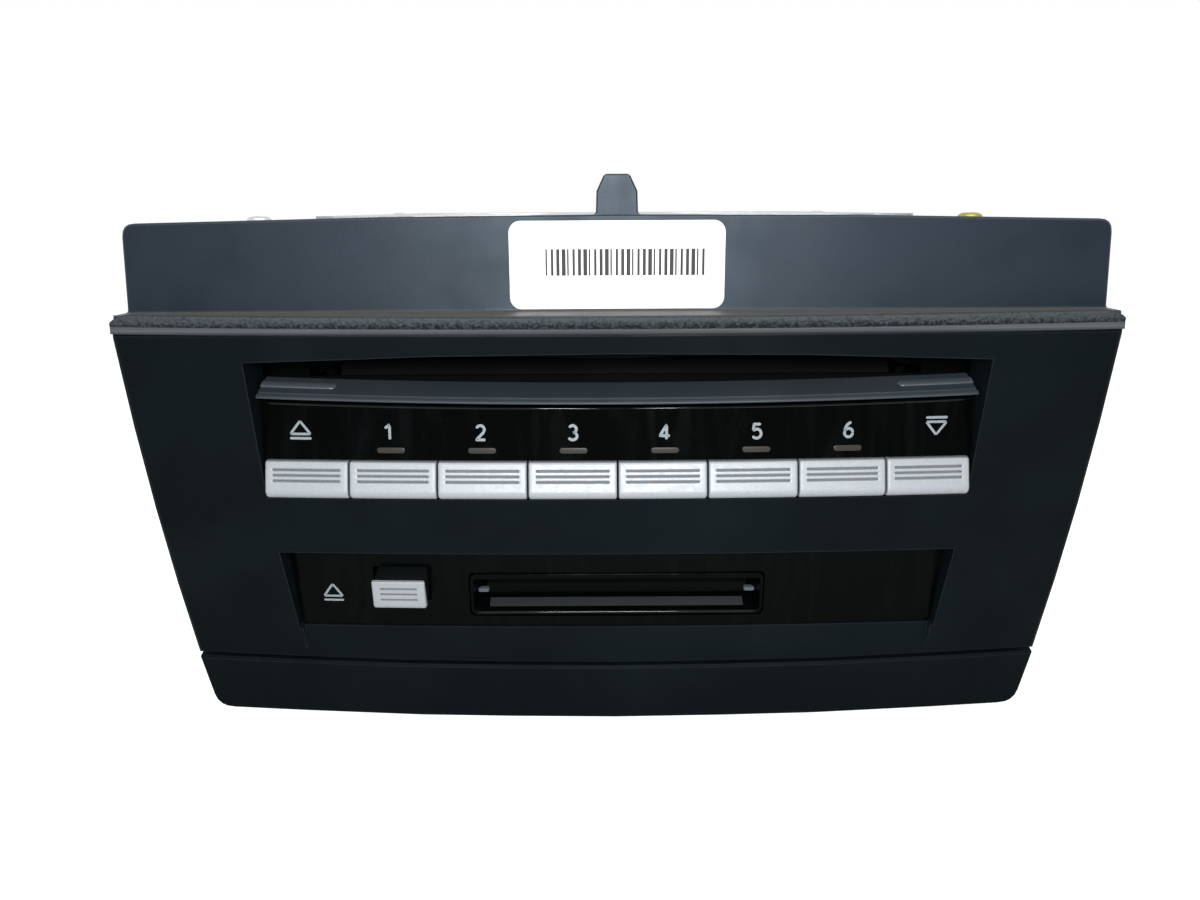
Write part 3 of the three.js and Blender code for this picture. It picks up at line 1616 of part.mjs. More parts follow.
node(radio, "main_board", mainBoard(), "board");
node(radio, "card_cage", cardCage(), "steel");
node(radio, "mechanism_deck", mechanismDeck(), "steel");
node(radio, "spindle_motor", spindleMotor(), "alloy");
node(radio, "turntable", turntable(), "dark");
node(radio, "laser_sled", laserSled(), "dark");
node(radio, "guide_rod", sledRod(-1), "screw");
node(radio, "lead_screw", sledRod(1), "screw");
node(radio, "feed_roller", feedRoller(), "rubber");
node(radio, "roller_bracket", rollerBracket(), "steel");
for (let i = 0; i < trayCount; i += 1) node(radio, "disc_tray_" + (i + 1), discTray(i), "tray");
for (const [name, place] of Object.entries(postPlaces)) {
  node(radio, "elevator_screw_" + name, elevatorPost(place), "screw");
}
node(radio, "elevator_motor", elevatorMotor(), "alloy");

export default radio;
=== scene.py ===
"""A built-in car radio, dressed for rendering round its construction model.

Metres. +X is to the right as seen from in front, -Y is out of the front, +Z is up.
Places on the slanted, bowed face are given as across (X), down its surface and out of it.
"""

import bpy
import numpy as np
from mathutils import Matrix, Vector


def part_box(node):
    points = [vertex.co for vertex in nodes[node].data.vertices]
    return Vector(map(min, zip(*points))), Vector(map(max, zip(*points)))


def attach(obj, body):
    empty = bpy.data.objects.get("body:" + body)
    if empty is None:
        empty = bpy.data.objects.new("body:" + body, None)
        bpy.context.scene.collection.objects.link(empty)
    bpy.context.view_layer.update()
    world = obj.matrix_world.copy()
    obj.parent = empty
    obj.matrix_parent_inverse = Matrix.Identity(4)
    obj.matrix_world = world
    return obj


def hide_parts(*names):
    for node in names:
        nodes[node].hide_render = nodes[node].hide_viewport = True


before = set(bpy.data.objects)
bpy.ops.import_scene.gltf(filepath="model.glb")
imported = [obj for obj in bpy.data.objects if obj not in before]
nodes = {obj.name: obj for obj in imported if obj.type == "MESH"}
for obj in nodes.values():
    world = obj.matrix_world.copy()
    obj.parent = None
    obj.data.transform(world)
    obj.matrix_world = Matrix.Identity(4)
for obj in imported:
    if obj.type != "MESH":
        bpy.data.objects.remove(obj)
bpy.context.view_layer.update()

MM = 0.001

# The slanted, bowed face
TILT = np.radians(14.5)
CROWN = 2.5 * MM
HALF_FACE = 91 * MM
FACE_TOP = np.array((0.0, -108.1344 * MM, 87.9706 * MM))
DOWN = np.array((0.0, np.sin(TILT), -np.cos(TILT)))
OUT = np.array((0.0, -np.cos(TILT), -np.sin(TILT)))
HALF_RECESS = 67.5 * MM
RECESS_STATIONS = 121

# Disc slot lip
LIP_TOP = 14.15 * MM
LIP_BACK = 13.75 * MM
LIP_BACK_DEPTH = 9 * MM
LIP_NOSE_DEPTH = 2.7 * MM
LIP_DROOP = 1 * MM
LIP_THICKNESS = 1.7 * MM
LIP_BEAD = 0.25 * MM
LIP_NOSE_HEIGHT = 0.72 * MM
LIP_TAIL = 1.5 * MM
LIP_SLOT = np.array(((-0.01, -1.6), (0.5, -1.5), (0.5, -0.8), (0.0, -0.75), (0.02, -0.5))) * MM
PAD_LENGTH = 14.2 * MM
PAD_RISE = 0.4 * MM
PAD_DEPTH = 2.3 * MM
PAD_BACK = 8.5 * MM
PAD_SINK = 0.06 * MM
PAD_END_SHARE = 0.07
PAD_LEAST_SHARE = 0.02
PAD_ROUNDING = 0.6

# Legend panel, its legends and indicators
LEGEND_TOP = 15.9 * MM
LEGEND_FOOT = 27.2 * MM
LEGEND_TOP_DEPTH = 5 * MM
LEGEND_FOOT_DEPTH = 1.35 * MM
LEGEND_THICKNESS = 1.7 * MM
LEGEND_EDGE = 16.2 * MM
LEGEND_KEY_GAP = 0.3 * MM
EDGE_BEAD = 0.32 * MM
EDGE_INSET = 0.3 * MM
EDGE_DROP = 0.4 * MM
EDGE_RISE = 0.12 * MM
DIGIT_CENTRE = 21.8 * MM
DIGIT_PITCH = 17.45 * MM
DIGIT_SHIFT = 0.3 * MM
DIGIT_HEIGHT = 3.15 * MM
DIGIT_WIDTH = 2.9 * MM
DIGIT_SHARES = np.array((0.8, 0.98))
PRINT_WIDTH = 0.52 * MM
SIGN_WIDTH = 0.45 * MM
PRINT_RISE = 0.03 * MM
BAR_CENTRE = 25.1 * MM
BAR_PITCH = 17.378 * MM
BAR_SHIFT = 0.4 * MM
BAR_LENGTH = 5.3 * MM
BAR_HEIGHT = 1.02 * MM
BAR_CORNER = BAR_HEIGHT / 2 - 0.001 * MM
ICON_ACROSS = -60.2 * MM
LOAD_ACROSS = 60.7 * MM
ICON_TOP = 19.6 * MM
ICON_HEIGHT = 3.65 * MM
ICON_WIDTH = 4.6 * MM
ICON_BASE_SHARE = 0.72
ICON_SIDE_SHARE = 0.93
ICON_TOP_SHARE = 0.6

# Keys
KEY_EDGES = np.array((-67.45, -51.2, -34.3, -17.05, 0.1, 17.25, 34.5, 51.3, 67.45)) * MM
KEY_SPLIT = 0.3 * MM
KEY_TOP = 27.2 * MM
KEY_LENGTH = 7.3 * MM
KEY_TOP_DEPTH = 0.8 * MM
KEY_PROUD = 1.75 * MM
KEY_FACE = 4.8 * MM
KEY_BODY = 4.6 * MM
KEY_EDGE = 0.45 * MM
KEY_CHAMFER = 0.15 * MM
KEY_ROLL = 1.15 * MM
KEY_ROLL_NOSE = 0.35 * MM
KEY_ROLL_BACK = 2.9 * MM
GROOVE_FIRST = 1.31 * MM
GROOVE_PITCH = 0.93 * MM
GROOVE_COUNT = 3
GROOVE_WIDTH = 0.54 * MM
GROOVE_DEPTH = 0.42 * MM
GROOVE_MARGIN = 1.5 * MM
GROOVE_WALL = 0.24 * MM
GROOVE_END = 0.15 * MM
GROOVE_END_STATIONS = np.array((-0.2, -0.05, 0.1)) * MM

# Lower recess: card panel, card key and card slot
CARD_TOP = 47.4 * MM
CARD_FOOT = 66.5 * MM
CARD_TOP_DEPTH = 4.5 * MM
CARD_FOOT_DEPTH = 1.7 * MM
CARD_ICON_ACROSS = -58.7 * MM
CARD_ICON_TOP = 56.85 * MM
CARD_ICON_HEIGHT = 4.1 * MM
CARD_KEY_ACROSS = -44.15 * MM
CARD_KEY_WIDTH = 10.8 * MM
CARD_KEY_TOP = 53.65 * MM
CARD_KEY_HEIGHT = 6.55 * MM
CARD_KEY_FACE = 5.3 * MM
CARD_KEY_TOP_DEPTH = -1.0 * MM
CARD_KEY_PROUD = 1.4 * MM
CARD_KEY_CAP = 0.75 * MM
CARD_KEY_HOOK = 1.9 * MM
CARD_KEY_HOOK_SHARE = 0.8
CARD_KEY_ROLL = 0.7 * MM
CARD_GROOVE_FIRST = 1.6 * MM
CARD_GROOVE_PITCH = 1.25 * MM
CARD_GROOVE_MARGIN = 1.7 * MM
CARD_KEY_DEPTH = 7.6 * MM
CARD_BLOCK_INSET = 0.15 * MM
CARD_BLOCK_LAP = 0.6 * MM
CARD_BLOCK_CORNER = 0.7 * MM
CARD_BLOCK_CHAMFER = 0.25 * MM
CARD_BLOCK_BEND = 0.1 * MM
CARD_ROD_SIZE = 3 * MM
CARD_ROD_LAP = 1 * MM
CARD_ROD_BACK = 29.6 * MM
CARD_ROD_CORNER = 0.5 * MM
BEZEL_TOP = 54.6 * MM
BEZEL_WIDTH = 60.3 * MM
BEZEL_HEIGHT = 9.4 * MM
BEZEL_DEPTH = 6.2 * MM
SLOT_TOP = BEZEL_TOP - CARD_TOP
SLOT_FOOT = SLOT_TOP + BEZEL_HEIGHT
BEZEL_FOOT_BAND = 1.1 * MM
BEZEL_FOOT_BLEND = 0.9 * MM
MOUTH_HALF = 27.75 * MM
FLAP_GAP = 0.35 * MM
FLAP_PIN = 0.8 * MM
FLAP_TOP = 2.4 * MM
FLAP_FOOT = 2.6 * MM
FLAP_FORWARD = 1.1 * MM
FLAP_EDGE = 0.5 * MM
SILL_INSET = 1.4 * MM
SILL_STEP = np.array((0.35, -0.1)) * MM
SILL_BEAD = 0.24 * MM
SILL_BEAD_REACH = 0.9 * MM
SILL_BEAD_UP = 0.86 * MM
SILL_BEAD_OUT = 0.34 * MM
SILL_BEAD_TAPER = 0.6 * MM
SILL_BEAD_OVERRUN = 0.1 * MM
STOP_WIDTH = 2.3 * MM
STOP_HEIGHT = 0.9 * MM
STOP_CORNER = 0.3 * MM
STOP_INSET = 0.05 * MM
STOP_DOWN = 4.7 * MM

# Label on the slab
SLAB_SETBACK = 7 * MM
LABEL_WIDTH = 38.9 * MM
LABEL_FOOT = 3.1 * MM
LABEL_TOP = 18.8 * MM
LABEL_CORNER = 2.1 * MM
LABEL_RISE = 0.12 * MM
LABEL_BARS = 30
LABEL_BAR_SHARES = 0.3 + 0.14 * np.arange(4)
LABEL_BARS_LEFT = -12.9 * MM
LABEL_BARS_RIGHT = 16.3 * MM
LABEL_BARS_FOOT = 9.1 * MM
LABEL_BARS_TOP = 13.8 * MM
LABEL_BARS_HALF_RISE = 0.01 * MM

# Foam strip
FOAM_TOP = -1.95 * MM
FOAM_FOOT = 0.12 * MM
FOAM_BACK = 1.7 * MM
FOAM_FRONT = 0.55 * MM
FOAM_HALF = 90.95 * MM
FOAM_SLOPE = 3.6 * MM
FOAM_FALL = 1.1 * MM
FOAM_CHAMFER_DOWN = 0.25 * MM
FOAM_CHAMFER_IN = 0.3 * MM
FOAM_END = 1.2 * MM
FOAM_END_DROP = 0.3 * MM
FOAM_STATIONS = 1100
FOAM_ROWS = 15
FOAM_SEED = 7
FOAM_FINE_WAVE = 2100
FOAM_COARSE_WAVE = 373
FOAM_WAVE_SHIFT = 40 / MM
FOAM_PORE_LEVEL = 0.35
FOAM_PORE_GAIN = 2.6
FOAM_PORE_SHARE = 0.75
FOAM_PUSH = 0.2 * MM
FOAM_PUSH_LOW = 0.5 * MM
FOAM_SLOPE_BEND = 1.4
# Painted shade on the foam: darkest below the first height over the face's top edge, lifted above the second
FOAM_SHADE_LOW = 0.6 * MM
FOAM_SHADE_HIGH = 1.7 * MM

# Rim over the foam
RIM_HALF = 90.95 * MM
RIM_ROUND = 0.8 * MM
RIM_DRAW = 0.35 * MM
RIM_STATIONS = 140
RIM_FADE = 0.8 * MM

# Cover screws
SCREW_STEPS = 96
SCREW_MIDDLE_SHARE = 0.62
SCREW_FLAT_SHARE = 0.35
SCREW_SIDE_SHARE = 0.45
SCREW_CROSS_ARM = 0.38 * MM
SCREW_CROSS_WALL = 0.14 * MM
SCREW_CROSS_REACH = 1.5 * MM
SCREW_CROSS_END = 0.35 * MM
SCREW_CROSS_DEPTH = 0.9 * MM

# Camera, from the middle of the face's top front edge
CAMERA_PLACE = np.array((-3.262, -176.192, 20.948)) * MM
CAMERA_PITCH = np.radians(13.601)
CAMERA_ROLL = np.radians(0.31)
CAMERA_LENS = 30
CAMERA_SENSOR = 36
CAMERA_NEAR = 0.01

# Light and floor
OVERHEAD_POWER = 2.9
FRONT_POWER = 0.57
SKY_LIGHT = 0.18
FLOOR_GREY = 0.82
FLOOR_GLOW = 0.88
FLOOR_REACH = 6.0

# Finishing of edges
WELD_REACH = 0.002 * MM
SHADE_LIMIT = np.radians(32)
BEVEL_LIMIT = np.radians(52)
BEVEL_SEGMENTS = 2
MOULDED = {"lower_apron": 0.4 * MM, "top_panel": 0.45 * MM}

# Finishes: the grain's cells per metre and its depth, the range of a noise, and the rays for hollows
GRAIN = 5200.0
GRAIN_DEPTH = 0.02 * MM
NOISE_LOW = 0.3
NOISE_HIGH = 0.7
COVER_SAMPLES = 12


def crown(across):
    """How far the face lies behind its middle: the crown times the square of the share of its half-width."""
    return -CROWN * (across / HALF_FACE) ** 2


def from_top(across, down, out):
    """Points across, down and out from the middle of the face's top edge, as arrays that broadcast."""
    across, down, out = np.broadcast_arrays(across, down, out)
    points = FACE_TOP + down[..., None] * DOWN + out[..., None] * OUT
    points[..., 0] += across
    return points


def on_face(across, down, out):
    """Points from places on the bowed face."""
    return from_top(across, down, out + crown(across))


def sloping(top, foot, top_depth, foot_depth):
    """Height of a sloping panel as a function of the way down the face: straight between its two edges."""
    return lambda down: -top_depth + (down - top) / (foot - top) * (top_depth - foot_depth)


legend_height = sloping(LEGEND_TOP, LEGEND_FOOT, LEGEND_TOP_DEPTH, LEGEND_FOOT_DEPTH)
card_height = sloping(CARD_TOP, CARD_FOOT, CARD_TOP_DEPTH, CARD_FOOT_DEPTH)


def droop(across):
    """How far the disc lip and the legend panel hang down: a parabola over the recess, zero at its ends."""
    return LIP_DROOP * (1 - (across / HALF_RECESS) ** 2)


def carried(profile, across, place=on_face, drop=0.0):
    """Rings of a side view of (down, out) points carried across, each let down by its own drop."""
    drop = np.broadcast_to(drop, across.shape)
    return place(across[:, None], profile[None, :, 0] + drop[:, None], profile[None, :, 1])


# Shader building blocks


def add_node(tree, kind, inputs=None, **settings):
    """A new node. Each of its inputs is given a value, or the socket that it is linked to."""
    made = tree.nodes.new(kind)
    for name, value in settings.items():
        setattr(made, name, value)
    for name, value in (inputs or {}).items():
        if isinstance(value, bpy.types.NodeSocket):
            tree.links.new(value, made.inputs[name])
        else:
            made.inputs[name].default_value = value
    return made


class Finish:
    """A material under construction: one Principled shader and the nodes that feed it."""

    def __init__(self, name, colour, roughness, metallic=0.0, specular=0.5):
        self.material = bpy.data.materials.new(name)
        self.material.use_nodes = True
        self.tree = self.material.node_tree
        self.shader = self.tree.nodes["Principled BSDF"]
        self.colour = (*colour, 1.0)
        self.shader.inputs["Base Color"].default_value = self.colour
        self.shader.inputs["Roughness"].default_value = roughness
        self.shader.inputs["Metallic"].default_value = metallic
        self.shader.inputs["Specular IOR Level"].default_value = specular
        self.place = self.node("ShaderNodeTexCoord").outputs["Object"]
        self.normal = None

    def node(self, kind, inputs=None, **settings):
        return add_node(self.tree, kind, inputs, **settings)

    def link(self, source, target):
        self.tree.links.new(source, target)

    def noise(self, scale, detail=3.0, stretch=None, distortion=0.0):
        """A noise of so many cells per metre, which can be stretched along each axis."""
        place = self.place
        if stretch:
            place = self.node("ShaderNodeMapping", {"Scale": stretch, "Vector": place}).outputs["Vector"]
        inputs = {"Scale": scale, "Detail": detail, "Distortion": distortion, "Vector": place}
        return self.node("ShaderNodeTexNoise", inputs).outputs["Fac"]

    def ramp(self, value, low, high, low_share=0.0, high_share=1.0):
        """A value turned into a share, straight from its low end to its high end."""
        ends = {"From Min": low, "From Max": high, "To Min": low_share, "To Max": high_share}
        return self.node("ShaderNodeMapRange", {"Value": value, **ends}).outputs["Result"]

    def tint(self, share, colour):
        """Mixes another colour over what the shader has now, by a share from 0 to 1."""
        base = self.shader.inputs["Base Color"]
        under = base.links[0].from_socket if base.is_linked else self.colour
        mix = self.node("ShaderNodeMix", {0: share, 6: under, 7: (*colour, 1.0)}, data_type="RGBA")
        self.link(mix.outputs[2], base)
        return self

    def specks(self, value, low, high, share, colour):
        """Another colour where a value goes from low to high, at most by a share."""
        return self.tint(self.ramp(value, low, high, 0.0, share), colour)

    def rough_by(self, noise, low, high):
        """Roughness that follows a noise from low to high."""
        self.link(self.ramp(noise, NOISE_LOW, NOISE_HIGH, low, high), self.shader.inputs["Roughness"])
        return self

    def bump(self, height, distance):
        """Small relief, on top of any that the finish has."""
        inputs = {"Distance": distance, "Height": height}
        if self.normal is not None:
            inputs["Normal"] = self.normal
        self.normal = self.node("ShaderNodeBump", inputs).outputs["Normal"]
        self.link(self.normal, self.shader.inputs["Normal"])
        return self

    def between(self, low, high):
        """A share that rises from 0 to 1 between two heights over the floor."""
        split = self.node("ShaderNodeSeparateXYZ", {0: self.place})
        return self.ramp(split.outputs["Z"], low, high)

    def plus(self, first, second, gain):
        """The first value and the second times a gain."""
        made = self.node("ShaderNodeMath", {0: second, 1: gain, 2: first}, operation="MULTIPLY_ADD")
        return made.outputs[0]

    def painted_hollow_shade(self, colour, reach):
        """Paints shade into narrow hollows: darkens them by how much of the sky within a reach is covered.
        """
        cover = self.node("ShaderNodeAmbientOcclusion", {"Distance": reach}, samples=COVER_SAMPLES)
        return self.specks(cover.outputs["AO"], low=0.9, high=0.4, share=0.6, colour=colour)

    def dust_and_top_light(self, colour, share):
        """Dust where the surface faces up, and a painted highlight there: faces that point up are painted
        lighter.
        """
        plain = self.node("ShaderNodeNewGeometry")
        split = self.node("ShaderNodeSeparateXYZ", {0: plain.outputs["Normal"]})
        return self.specks(split.outputs["Z"], low=0.75, high=0.97, share=share, colour=colour)

    def wear_and_edge_highlight(self, colour, width):
        """Lightens the edges as wear and as a painted highlight where a rounded edge would catch the light:
        a rounded normal that differs from the surface's own marks them.
        """
        bevel = self.node("ShaderNodeBevel", {"Radius": width})
        plain = self.node("ShaderNodeNewGeometry")
        normals = {0: bevel.outputs["Normal"], 1: plain.outputs["Normal"]}
        turned = self.node("ShaderNodeVectorMath", normals, operation="DOT_PRODUCT")
        return self.specks(turned.outputs["Value"], low=1.0, high=0.8, share=0.75, colour=colour)


def matt_plastic(name, colour, dusty, roughness=0.62, specular=0.12):
    """Moulded plastic with a fine leathery grain, a little dust and rubbed patches."""
    finish = Finish(name, colour, roughness, specular=specular)
    finish.bump(finish.noise(GRAIN, detail=4.0), GRAIN_DEPTH)
    patches = finish.noise(24.0, detail=5.0, distortion=0.8)
    finish.specks(patches, low=0.42, high=0.8, share=0.5, colour=dusty)
    motes = finish.noise(2600.0, detail=2.0)
    finish.specks(motes, low=0.62, high=0.8, share=0.4, colour=dusty)
    finish.rough_by(finish.noise(90.0, detail=4.0), roughness - 0.06, roughness + 0.1)
    return finish


def gloss_plastic(name, colour, roughness=0.09, spread=0.12, specular=0.05):
    """Polished black plastic with faint wiping smears and a few specks of dust."""
    finish = Finish(name, colour, roughness, specular=specular)
    smears = finish.noise(60.0, detail=5.0, stretch=(3.0, 1.0, 0.6), distortion=1.4)
    finish.rough_by(smears, roughness, roughness + spread)
    finish.specks(smears, low=0.5, high=0.85, share=0.6, colour=tuple(4 * c for c in colour))
    motes = finish.noise(1900.0, detail=2.0)
    finish.specks(motes, low=0.76, high=0.84, share=0.6, colour=(0.03, 0.032, 0.033))
    return finish


def silver_paint(name):
    """Fine-grained silver paint on plastic, with lighter and darker specks, and painted shade in its
    grooves.
    """
    finish = Finish(name, (0.335, 0.362, 0.385), 0.42, metallic=0.14, specular=0.3)
    grains = finish.noise(GRAIN, detail=2.0)
    finish.specks(grains, low=0.4, high=0.72, share=0.5, colour=(0.5, 0.535, 0.56))
    pits = finish.noise(3100.0, detail=2.0)
    finish.specks(pits, low=0.62, high=0.8, share=0.5, colour=(0.22, 0.24, 0.255))
    finish.bump(grains, distance=0.016 * MM)
    finish.rough_by(finish.noise(900.0, detail=3.0), 0.36, 0.52)
    # Painted shade: the grooves and other narrow hollows are painted darker.
    finish.painted_hollow_shade((0.06, 0.065, 0.07), reach=0.7 * MM)
    return finish


def plated_steel(name, colour):
    """Zinc-plated sheet: cells of slightly different shade, and fine rolling lines."""
    roughness = 0.36
    finish = Finish(name, colour, roughness, metallic=1.0)
    cells = finish.node("ShaderNodeTexVoronoi", {"Scale": 260.0, "Vector": finish.place})
    shade = finish.node("ShaderNodeSeparateColor", {"Color": cells.outputs["Color"]})
    darker = tuple(0.72 * c for c in colour)
    finish.specks(shade.outputs["Red"], low=0.0, high=1.0, share=0.45, colour=darker)
    finish.rough_by(shade.outputs["Green"], roughness - 0.06, roughness + 0.1)
    finish.bump(finish.noise(1400.0, detail=3.0, stretch=(0.05, 1.0, 1.0)), distance=0.006 * MM)
    return finish


def turned_metal(name, colour, roughness=0.28):
    """Bright machined or pressed metal with fine scratches."""
    finish = Finish(name, colour, roughness, metallic=1.0)
    finish.rough_by(finish.noise(700.0, detail=4.0), roughness - 0.08, roughness + 0.12)
    finish.bump(finish.noise(2600.0, detail=2.0), distance=0.004 * MM)
    return finish


def foam(name):
    """Rough open foam, dusty grey on its surface and dark in its pores, with painted shade that darkens it
    towards its foot.
    """
    finish = Finish(name, (0.012, 0.016, 0.019), 0.95, specular=0.05)
    # Painted shade: the foam is painted darker towards its foot, by the fascia's rim.
    height = finish.between(FACE_TOP[2] + FOAM_SHADE_LOW, FACE_TOP[2] + FOAM_SHADE_HIGH)
    crumbs_and_shade = finish.plus(finish.noise(1700.0, detail=6.0), height, gain=0.3)
    finish.tint(finish.ramp(crumbs_and_shade, 0.45, 0.8), (0.06, 0.07, 0.077))
    finish.bump(finish.noise(2600.0, detail=6.0), distance=0.12 * MM)
    return finish


def circuit_board(name):
    """Green resist with faint tracks."""
    finish = Finish(name, (0.012, 0.085, 0.035), 0.4, specular=0.4)
    tracks = finish.node("ShaderNodeTexBrick", {"Scale": 180.0, "Vector": finish.place})
    finish.specks(tracks.outputs["Fac"], low=0.0, high=1.0, share=0.5, colour=(0.04, 0.16, 0.06))
    finish.bump(tracks.outputs["Fac"], distance=0.03 * MM)
    return finish


def paper(name, colour):
    """Coated white label stock, a little uneven."""
    finish = Finish(name, colour, 0.38, specular=0.3)
    duller = tuple(0.9 * c for c in colour)
    finish.specks(finish.noise(60.0, detail=5.0), low=0.55, high=0.8, share=0.25, colour=duller)
    finish.bump(finish.noise(700.0, detail=4.0), distance=0.006 * MM)
    return finish


def printed(name, colour, roughness=0.5):
    """A thin printed layer with slightly uneven ink."""
    finish = Finish(name, colour, roughness, specular=0.2)
    thinner = tuple(0.75 * c for c in colour)
    finish.specks(finish.noise(1500.0, detail=3.0), low=0.5, high=0.8, share=0.3, colour=thinner)
    return finish


# The finishes: each plastic has its own colour and that of the dust on it
FASCIA = matt_plastic("fascia_black", (0.0021, 0.0045, 0.0057), (0.0065, 0.0118, 0.014), specular=0.06)
# Wear and painted highlight: the fascia's edges are painted lighter.
FASCIA.wear_and_edge_highlight((0.026, 0.031, 0.034), 0.35 * MM)
SLAB = matt_plastic(
    "slab_blue_grey", (0.004, 0.0078, 0.0145), (0.0075, 0.0125, 0.0215), roughness=0.46, specular=0.4,
)
SLAB.shader.inputs["Specular Tint"].default_value = (0.74, 0.88, 1.0, 1.0)
# Dust and painted highlight: the ledge and other faces of the slab that point up are painted pale brown.
SLAB.dust_and_top_light((0.108, 0.1, 0.09), share=0.85)
# Wear and painted highlight: the slab's edges are painted lighter.
SLAB.wear_and_edge_highlight((0.1, 0.11, 0.125), 0.3 * MM)
LIP = matt_plastic("lip_satin", (0.034, 0.046, 0.057), (0.07, 0.083, 0.097), roughness=0.42, specular=0.3)
# Painted shade: narrow hollows of the lip, such as the slot behind its bead, are painted darker.
LIP.painted_hollow_shade((0.01, 0.012, 0.013), reach=0.8 * MM)
PAD = matt_plastic("pad_smooth", (0.075, 0.09, 0.11), (0.11, 0.125, 0.14), roughness=0.24, specular=0.5)
GLOSS = gloss_plastic("panel_gloss", (0.0009, 0.0013, 0.0013))
SILVER = silver_paint("key_silver")
FOAM = foam("seal_foam")
STEEL = plated_steel("plated_sheet", (0.5, 0.51, 0.52))
# Painted shadow: sheet parts inside the slots are painted near black to stand for the dark inside the radio.
SHADE_BLACK = matt_plastic(
    "shade_black_sheet", (0.0015, 0.002, 0.002), (0.004, 0.005, 0.005), roughness=0.7, specular=0.04,
)
BRIGHT = turned_metal("bright_steel", (0.62, 0.63, 0.64))
BRASS = turned_metal("yellow_passivated", (0.4, 0.34, 0.07), roughness=0.34)
ALLOY = turned_metal("plain_alloy", (0.46, 0.47, 0.49), roughness=0.4)
BOARD = circuit_board("board_resist")
DARK = matt_plastic("dark_plastic", (0.004, 0.0055, 0.006), (0.008, 0.011, 0.012), roughness=0.55)
RUBBER = matt_plastic("roller_rubber", (0.005, 0.005, 0.005), (0.009, 0.009, 0.009), roughness=0.85)
# Dust and painted highlight: the rim is painted pale where its rounded edge catches the light, and this
# fades down into the fascia's dark.
RIM = matt_plastic("rim_dust_and_highlight", (0.09, 0.1, 0.105), (0.13, 0.14, 0.145), roughness=0.6)
RIM.tint(RIM.between(FACE_TOP[2], FACE_TOP[2] - RIM_FADE), (0.006, 0.009, 0.01))
EDGE = gloss_plastic("polished_edge", (0.001, 0.0015, 0.0015), roughness=0.06, spread=0.03, specular=0.3)
SILL = matt_plastic("sill_grey", (0.03, 0.035, 0.038), (0.05, 0.055, 0.06), roughness=0.5)
LENS = printed("indicator_lens", (0.034, 0.031, 0.026), roughness=0.35)
INK = printed("legend_ink", (0.26, 0.3, 0.32))
LABEL = paper("label_stock", (0.82, 0.82, 0.81))
BAR_INK = printed("label_ink", (0.03, 0.03, 0.033))


def paint(node, finish):
    """Puts a finish on a piece of the construction model."""
    slot = nodes[node].material_slots[0]
    slot.link = "OBJECT"
    slot.material = finish.material


TRAYS = ["disc_tray_%d" % (i + 1) for i in range(6)]
LIFT_SCREWS = ["elevator_screw_left", "elevator_screw_right", "elevator_screw_rear"]
SHEET_PIECES = ["chassis_tray", "rear_plate", "top_cover", "side_bracket_left", "side_bracket_right"]
FINISHES = [
    (FASCIA, ["fascia_frame", "lower_apron"]),
    (SLAB, ["top_panel"]),
    (GLOSS, ["card_panel"]),
    (STEEL, [*SHEET_PIECES, "mechanism_deck"]),
    # Painted shadow: parts seen in the slots are painted near black.
    (SHADE_BLACK, ["front_plate", "card_cage", "disc_guide_top", "roller_bracket", *LIFT_SCREWS]),
    (BRIGHT, ["guide_rod", "lead_screw"]),
    (BRASS, ["antenna_socket"]),
    (ALLOY, ["heat_sink", "spindle_motor", "elevator_motor"]),
    (BOARD, ["main_board", "key_board"]),
    (DARK, ["main_connector", "display_socket", "turntable", "laser_sled", *TRAYS]),
    (RUBBER, ["feed_roller", "slot_felt"]),
]
for finish, names in FINISHES:
    for name in names:
        paint(name, finish)


def smooth_group(limit):
    """A node group that shades smooth, but keeps edges sharper than a limit."""
    group = bpy.data.node_groups.new("smooth_shading", "GeometryNodeTree")
    group.interface.new_socket("Geometry", in_out="INPUT", socket_type="NodeSocketGeometry")
    group.interface.new_socket("Geometry", in_out="OUTPUT", socket_type="NodeSocketGeometry")
    start = add_node(group, "NodeGroupInput")
    angle = add_node(group, "GeometryNodeInputMeshEdgeAngle").outputs["Unsigned Angle"]
    blunt = add_node(group, "FunctionNodeCompare", {0: angle, 1: limit}, operation="LESS_THAN")
    faces = add_node(group, "GeometryNodeSetShadeSmooth", {"Geometry": start.outputs[0]})
    inputs = {"Geometry": faces.outputs[0], "Shade Smooth": blunt.outputs[0]}
    edges = add_node(group, "GeometryNodeSetShadeSmooth", inputs, domain="EDGE")
    add_node(group, "NodeGroupOutput", {0: edges.outputs[0]})
    return group


SMOOTH = smooth_group(SHADE_LIMIT)


def soften(obj, width=0.0):
    """Welds a piece's triangles, rounds its edges where a width is given, and shades it smooth."""
    weld = obj.modifiers.new("weld", "WELD")
    weld.merge_threshold = WELD_REACH
    if width:
        bevel = obj.modifiers.new("rounded_edges", "BEVEL")
        bevel.width = width
        bevel.segments = BEVEL_SEGMENTS
        bevel.limit_method = "ANGLE"
        bevel.angle_limit = BEVEL_LIMIT
        bevel.use_clamp_overlap = False
    obj.modifiers.new("smooth", "NODES").node_group = SMOOTH
    if width:
        obj.modifiers.new("flat_faces", "WEIGHTED_NORMAL").keep_sharp = True


for name in nodes:
    soften(nodes[name], MOULDED.get(name, 0.0))


def placed(name, data):
    """A new object in the scene, at the origin."""
    obj = bpy.data.objects.new(name, data)
    bpy.context.scene.collection.objects.link(obj)
    return obj


def mesh_of(name, points, faces, finish):
    """A new mesh with one material."""
    mesh = bpy.data.meshes.new(name)
    mesh.from_pydata(points.reshape(-1, 3).tolist(), [], [list(f) for f in faces])
    mesh.materials.append(finish.material)
    return mesh


